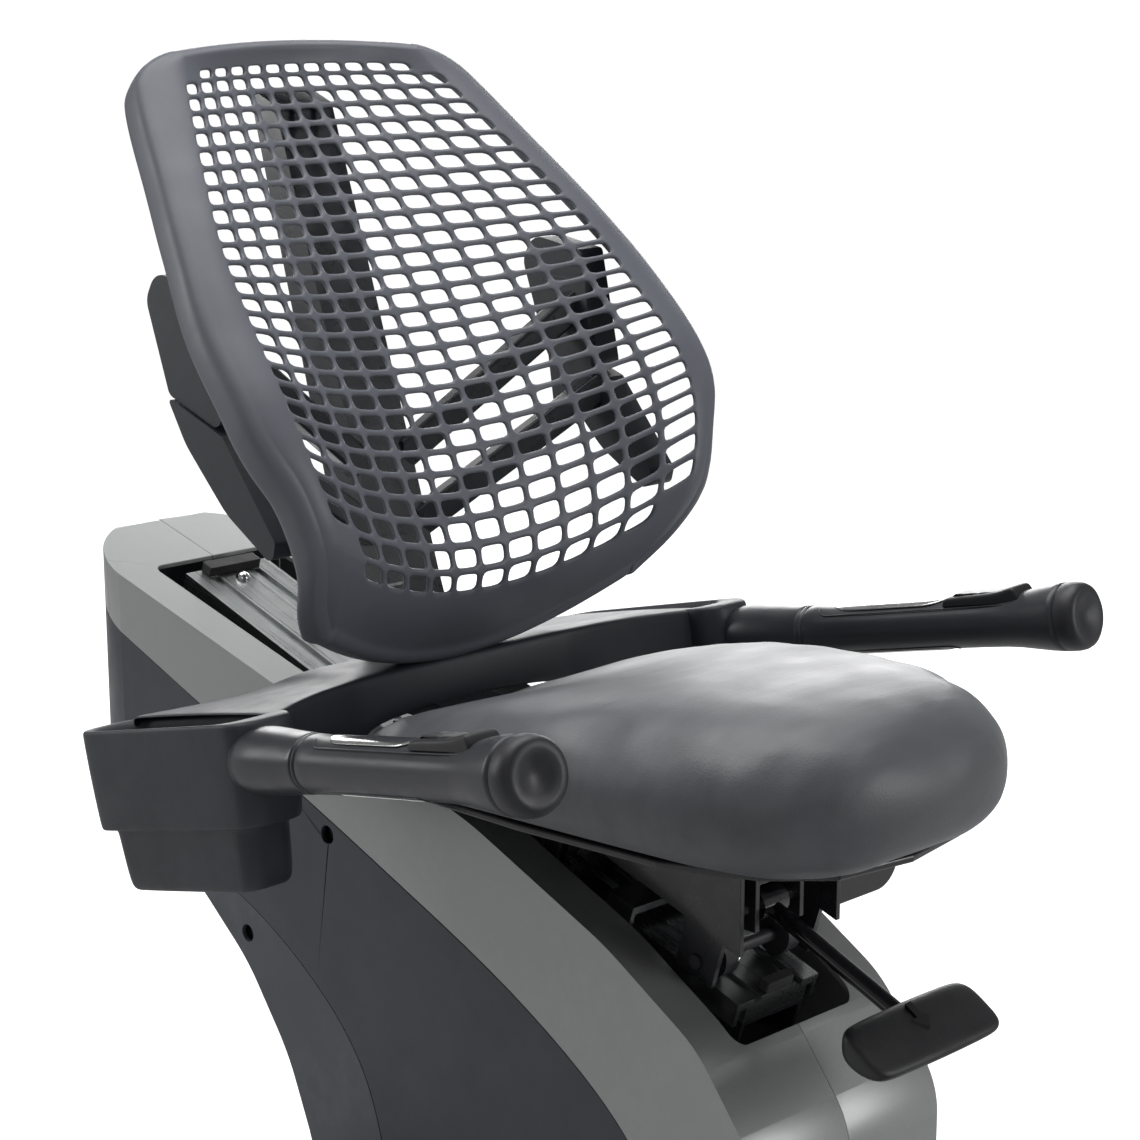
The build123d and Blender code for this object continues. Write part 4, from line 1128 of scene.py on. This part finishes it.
def screw_recesses():
    """Dark cups behind the holes in the side panels, so that nothing shows through."""
    for side, word in ((1, "left"), (-1, "right")):
        for number, (y, z) in enumerate(((458, 428), (559, 323)), 1):
            points = []
            for x, radius in ((88, 8.5), (81, 8.5), (80, 7.5), (79.5, 3)):
                for index in range(20):
                    angle = 2 * math.pi * index / 20
                    points.append((side * x, y + radius * math.cos(angle), z + radius * math.sin(angle)))
            faces = strip_faces(4, 20, True) + [tuple(range(60, 80))]
            add_mesh(f"screw_recess_{word}_{number}", points, faces, "screw_black", "frame")


def finish_cad_nodes():
    """Gives each CAD node the material of its slot, and a small radius where it shows."""
    corner = {
        "tower_shell_left": 3.0, "tower_shell_right": 3.0, "tower_rear_cap": 3.0,
        "side_panels": 1.2, "rear_fins": 1.2,
        "hook_plate": 0.8, "carriage_bracket": 0.8, "back_frame": 1.2, "back_wings": 2.5, "seat_pan": 1.0,
        "console_housing": 2.5, "crank_arms": 2.0, "step_cover": 2.0, "front_shell_left": 1.5,
        "front_shell_right": 1.5, "mast_cover": 1.0, "rail_end_stops": 1.0,
    }
    for name, node in NODES.items():
        material = FINISH["screw_black" if name == "tower_screws" else SLOT_OF[name]]
        if not node.material_slots:
            node.data.materials.append(material)
        for slot in node.material_slots:
            slot.material = material
        if name in corner:
            round_corners(node, corner[name], 3, 40)


# ------------ light, floor and camera


def area_light(name, place, target, size, power, colour=(1, 1, 1)):
    lamp = bpy.data.lights.new(name, "AREA")
    lamp.shape = "RECTANGLE"
    lamp.size, lamp.size_y = size
    lamp.energy = power
    lamp.color = colour
    holder = bpy.data.objects.new(name, lamp)
    bpy.context.scene.collection.objects.link(holder)
    holder.location = place
    holder.rotation_euler = (Vector(target) - Vector(place)).to_track_quat("-Z", "Y").to_euler()


def studio():
    scene = bpy.context.scene
    scene.view_settings.view_transform = "Standard"
    scene.view_settings.look = "None"
    world = bpy.data.worlds.new("studio")
    scene.world = world
    world.use_nodes = True
    tree = world.node_tree
    background = tree.nodes["Background"]
    background.inputs["Color"].default_value = (1, 1, 1, 1)
    light_path = tree.nodes.new("ShaderNodeLightPath")
    strength = spread(tree, light_path.outputs["Is Camera Ray"], 0.0, 1.0, 0.2, 1.05)
    tree.links.new(strength, background.inputs["Strength"])

    bpy.ops.mesh.primitive_plane_add(size=24)
    floor = bpy.context.object
    floor.name = "floor"
    material, tree, shader = start_material("studio_floor")
    mottle = spread(tree, noise(tree, object_place(tree), 1.3, 3.0), 0.3, 0.7)
    body = blend_colours(tree, mottle, (0.3, 0.3, 0.3), (0.33, 0.33, 0.33))
    tree.links.new(body, shader.inputs["Base Color"])
    shader.inputs["Roughness"].default_value = 0.9
    shader.inputs["Emission Color"].default_value = (1, 1, 1, 1)
    seen = tree.nodes.new("ShaderNodeLightPath").outputs["Is Camera Ray"]
    tree.links.new(spread(tree, seen, 0.0, 1.0, 0.22, 0.97), shader.inputs["Emission Strength"])
    floor.data.materials.append(material)

    area_light("key_above", (0.2, 0.8, 2.9), (0, 0.3, 0.6), (2.8, 2.0), 58)
    area_light("front_soft", (-2.6, -1.6, 2.0), (0, 0.2, 0.6), (1.2, 1.4), 3)
    area_light("rear_strip", (2.2, 2.6, 1.3), (0, 0.3, 0.6), (2.8, 1.4), 62)
    area_light("right_soft", (1.6, -2.6, 1.3), (0, 0.3, 0.6), (1.0, 1.8), 30)
    area_light("left_strip", (-1.8, 2.9, 1.5), (0, 0.6, 0.6), (0.7, 1.6), 22)


CAMERA_PLACE = (-1.2235, -0.9746, 1.0579)
CAMERA_FORWARD = (0.6751, 0.7010, -0.23016)
CAMERA_RIGHT = (0.7203, -0.6937, 0)
LENS_LENGTH = 82.1


def camera():
    lens = bpy.data.cameras.new("camera")
    lens.lens = LENS_LENGTH
    lens.sensor_width = 36
    lens.clip_start = 0.05
    holder = bpy.data.objects.new("camera", lens)
    bpy.context.scene.collection.objects.link(holder)
    forward = Vector(CAMERA_FORWARD).normalized()
    right = Vector(CAMERA_RIGHT).normalized()
    upward = right.cross(forward).normalized()
    turn = Matrix((right, upward, -forward)).transposed().to_4x4()
    holder.matrix_world = Matrix.Translation(Vector(CAMERA_PLACE)) @ turn
    bpy.context.scene.camera = holder


finish_cad_nodes()
backrest_panel()
seat_cushion()
seat_pan()
pod(1)
pod(-1)
bridge()
handles()
lever_grip()
scale_marks()
screw_recesses()
studio()
camera()
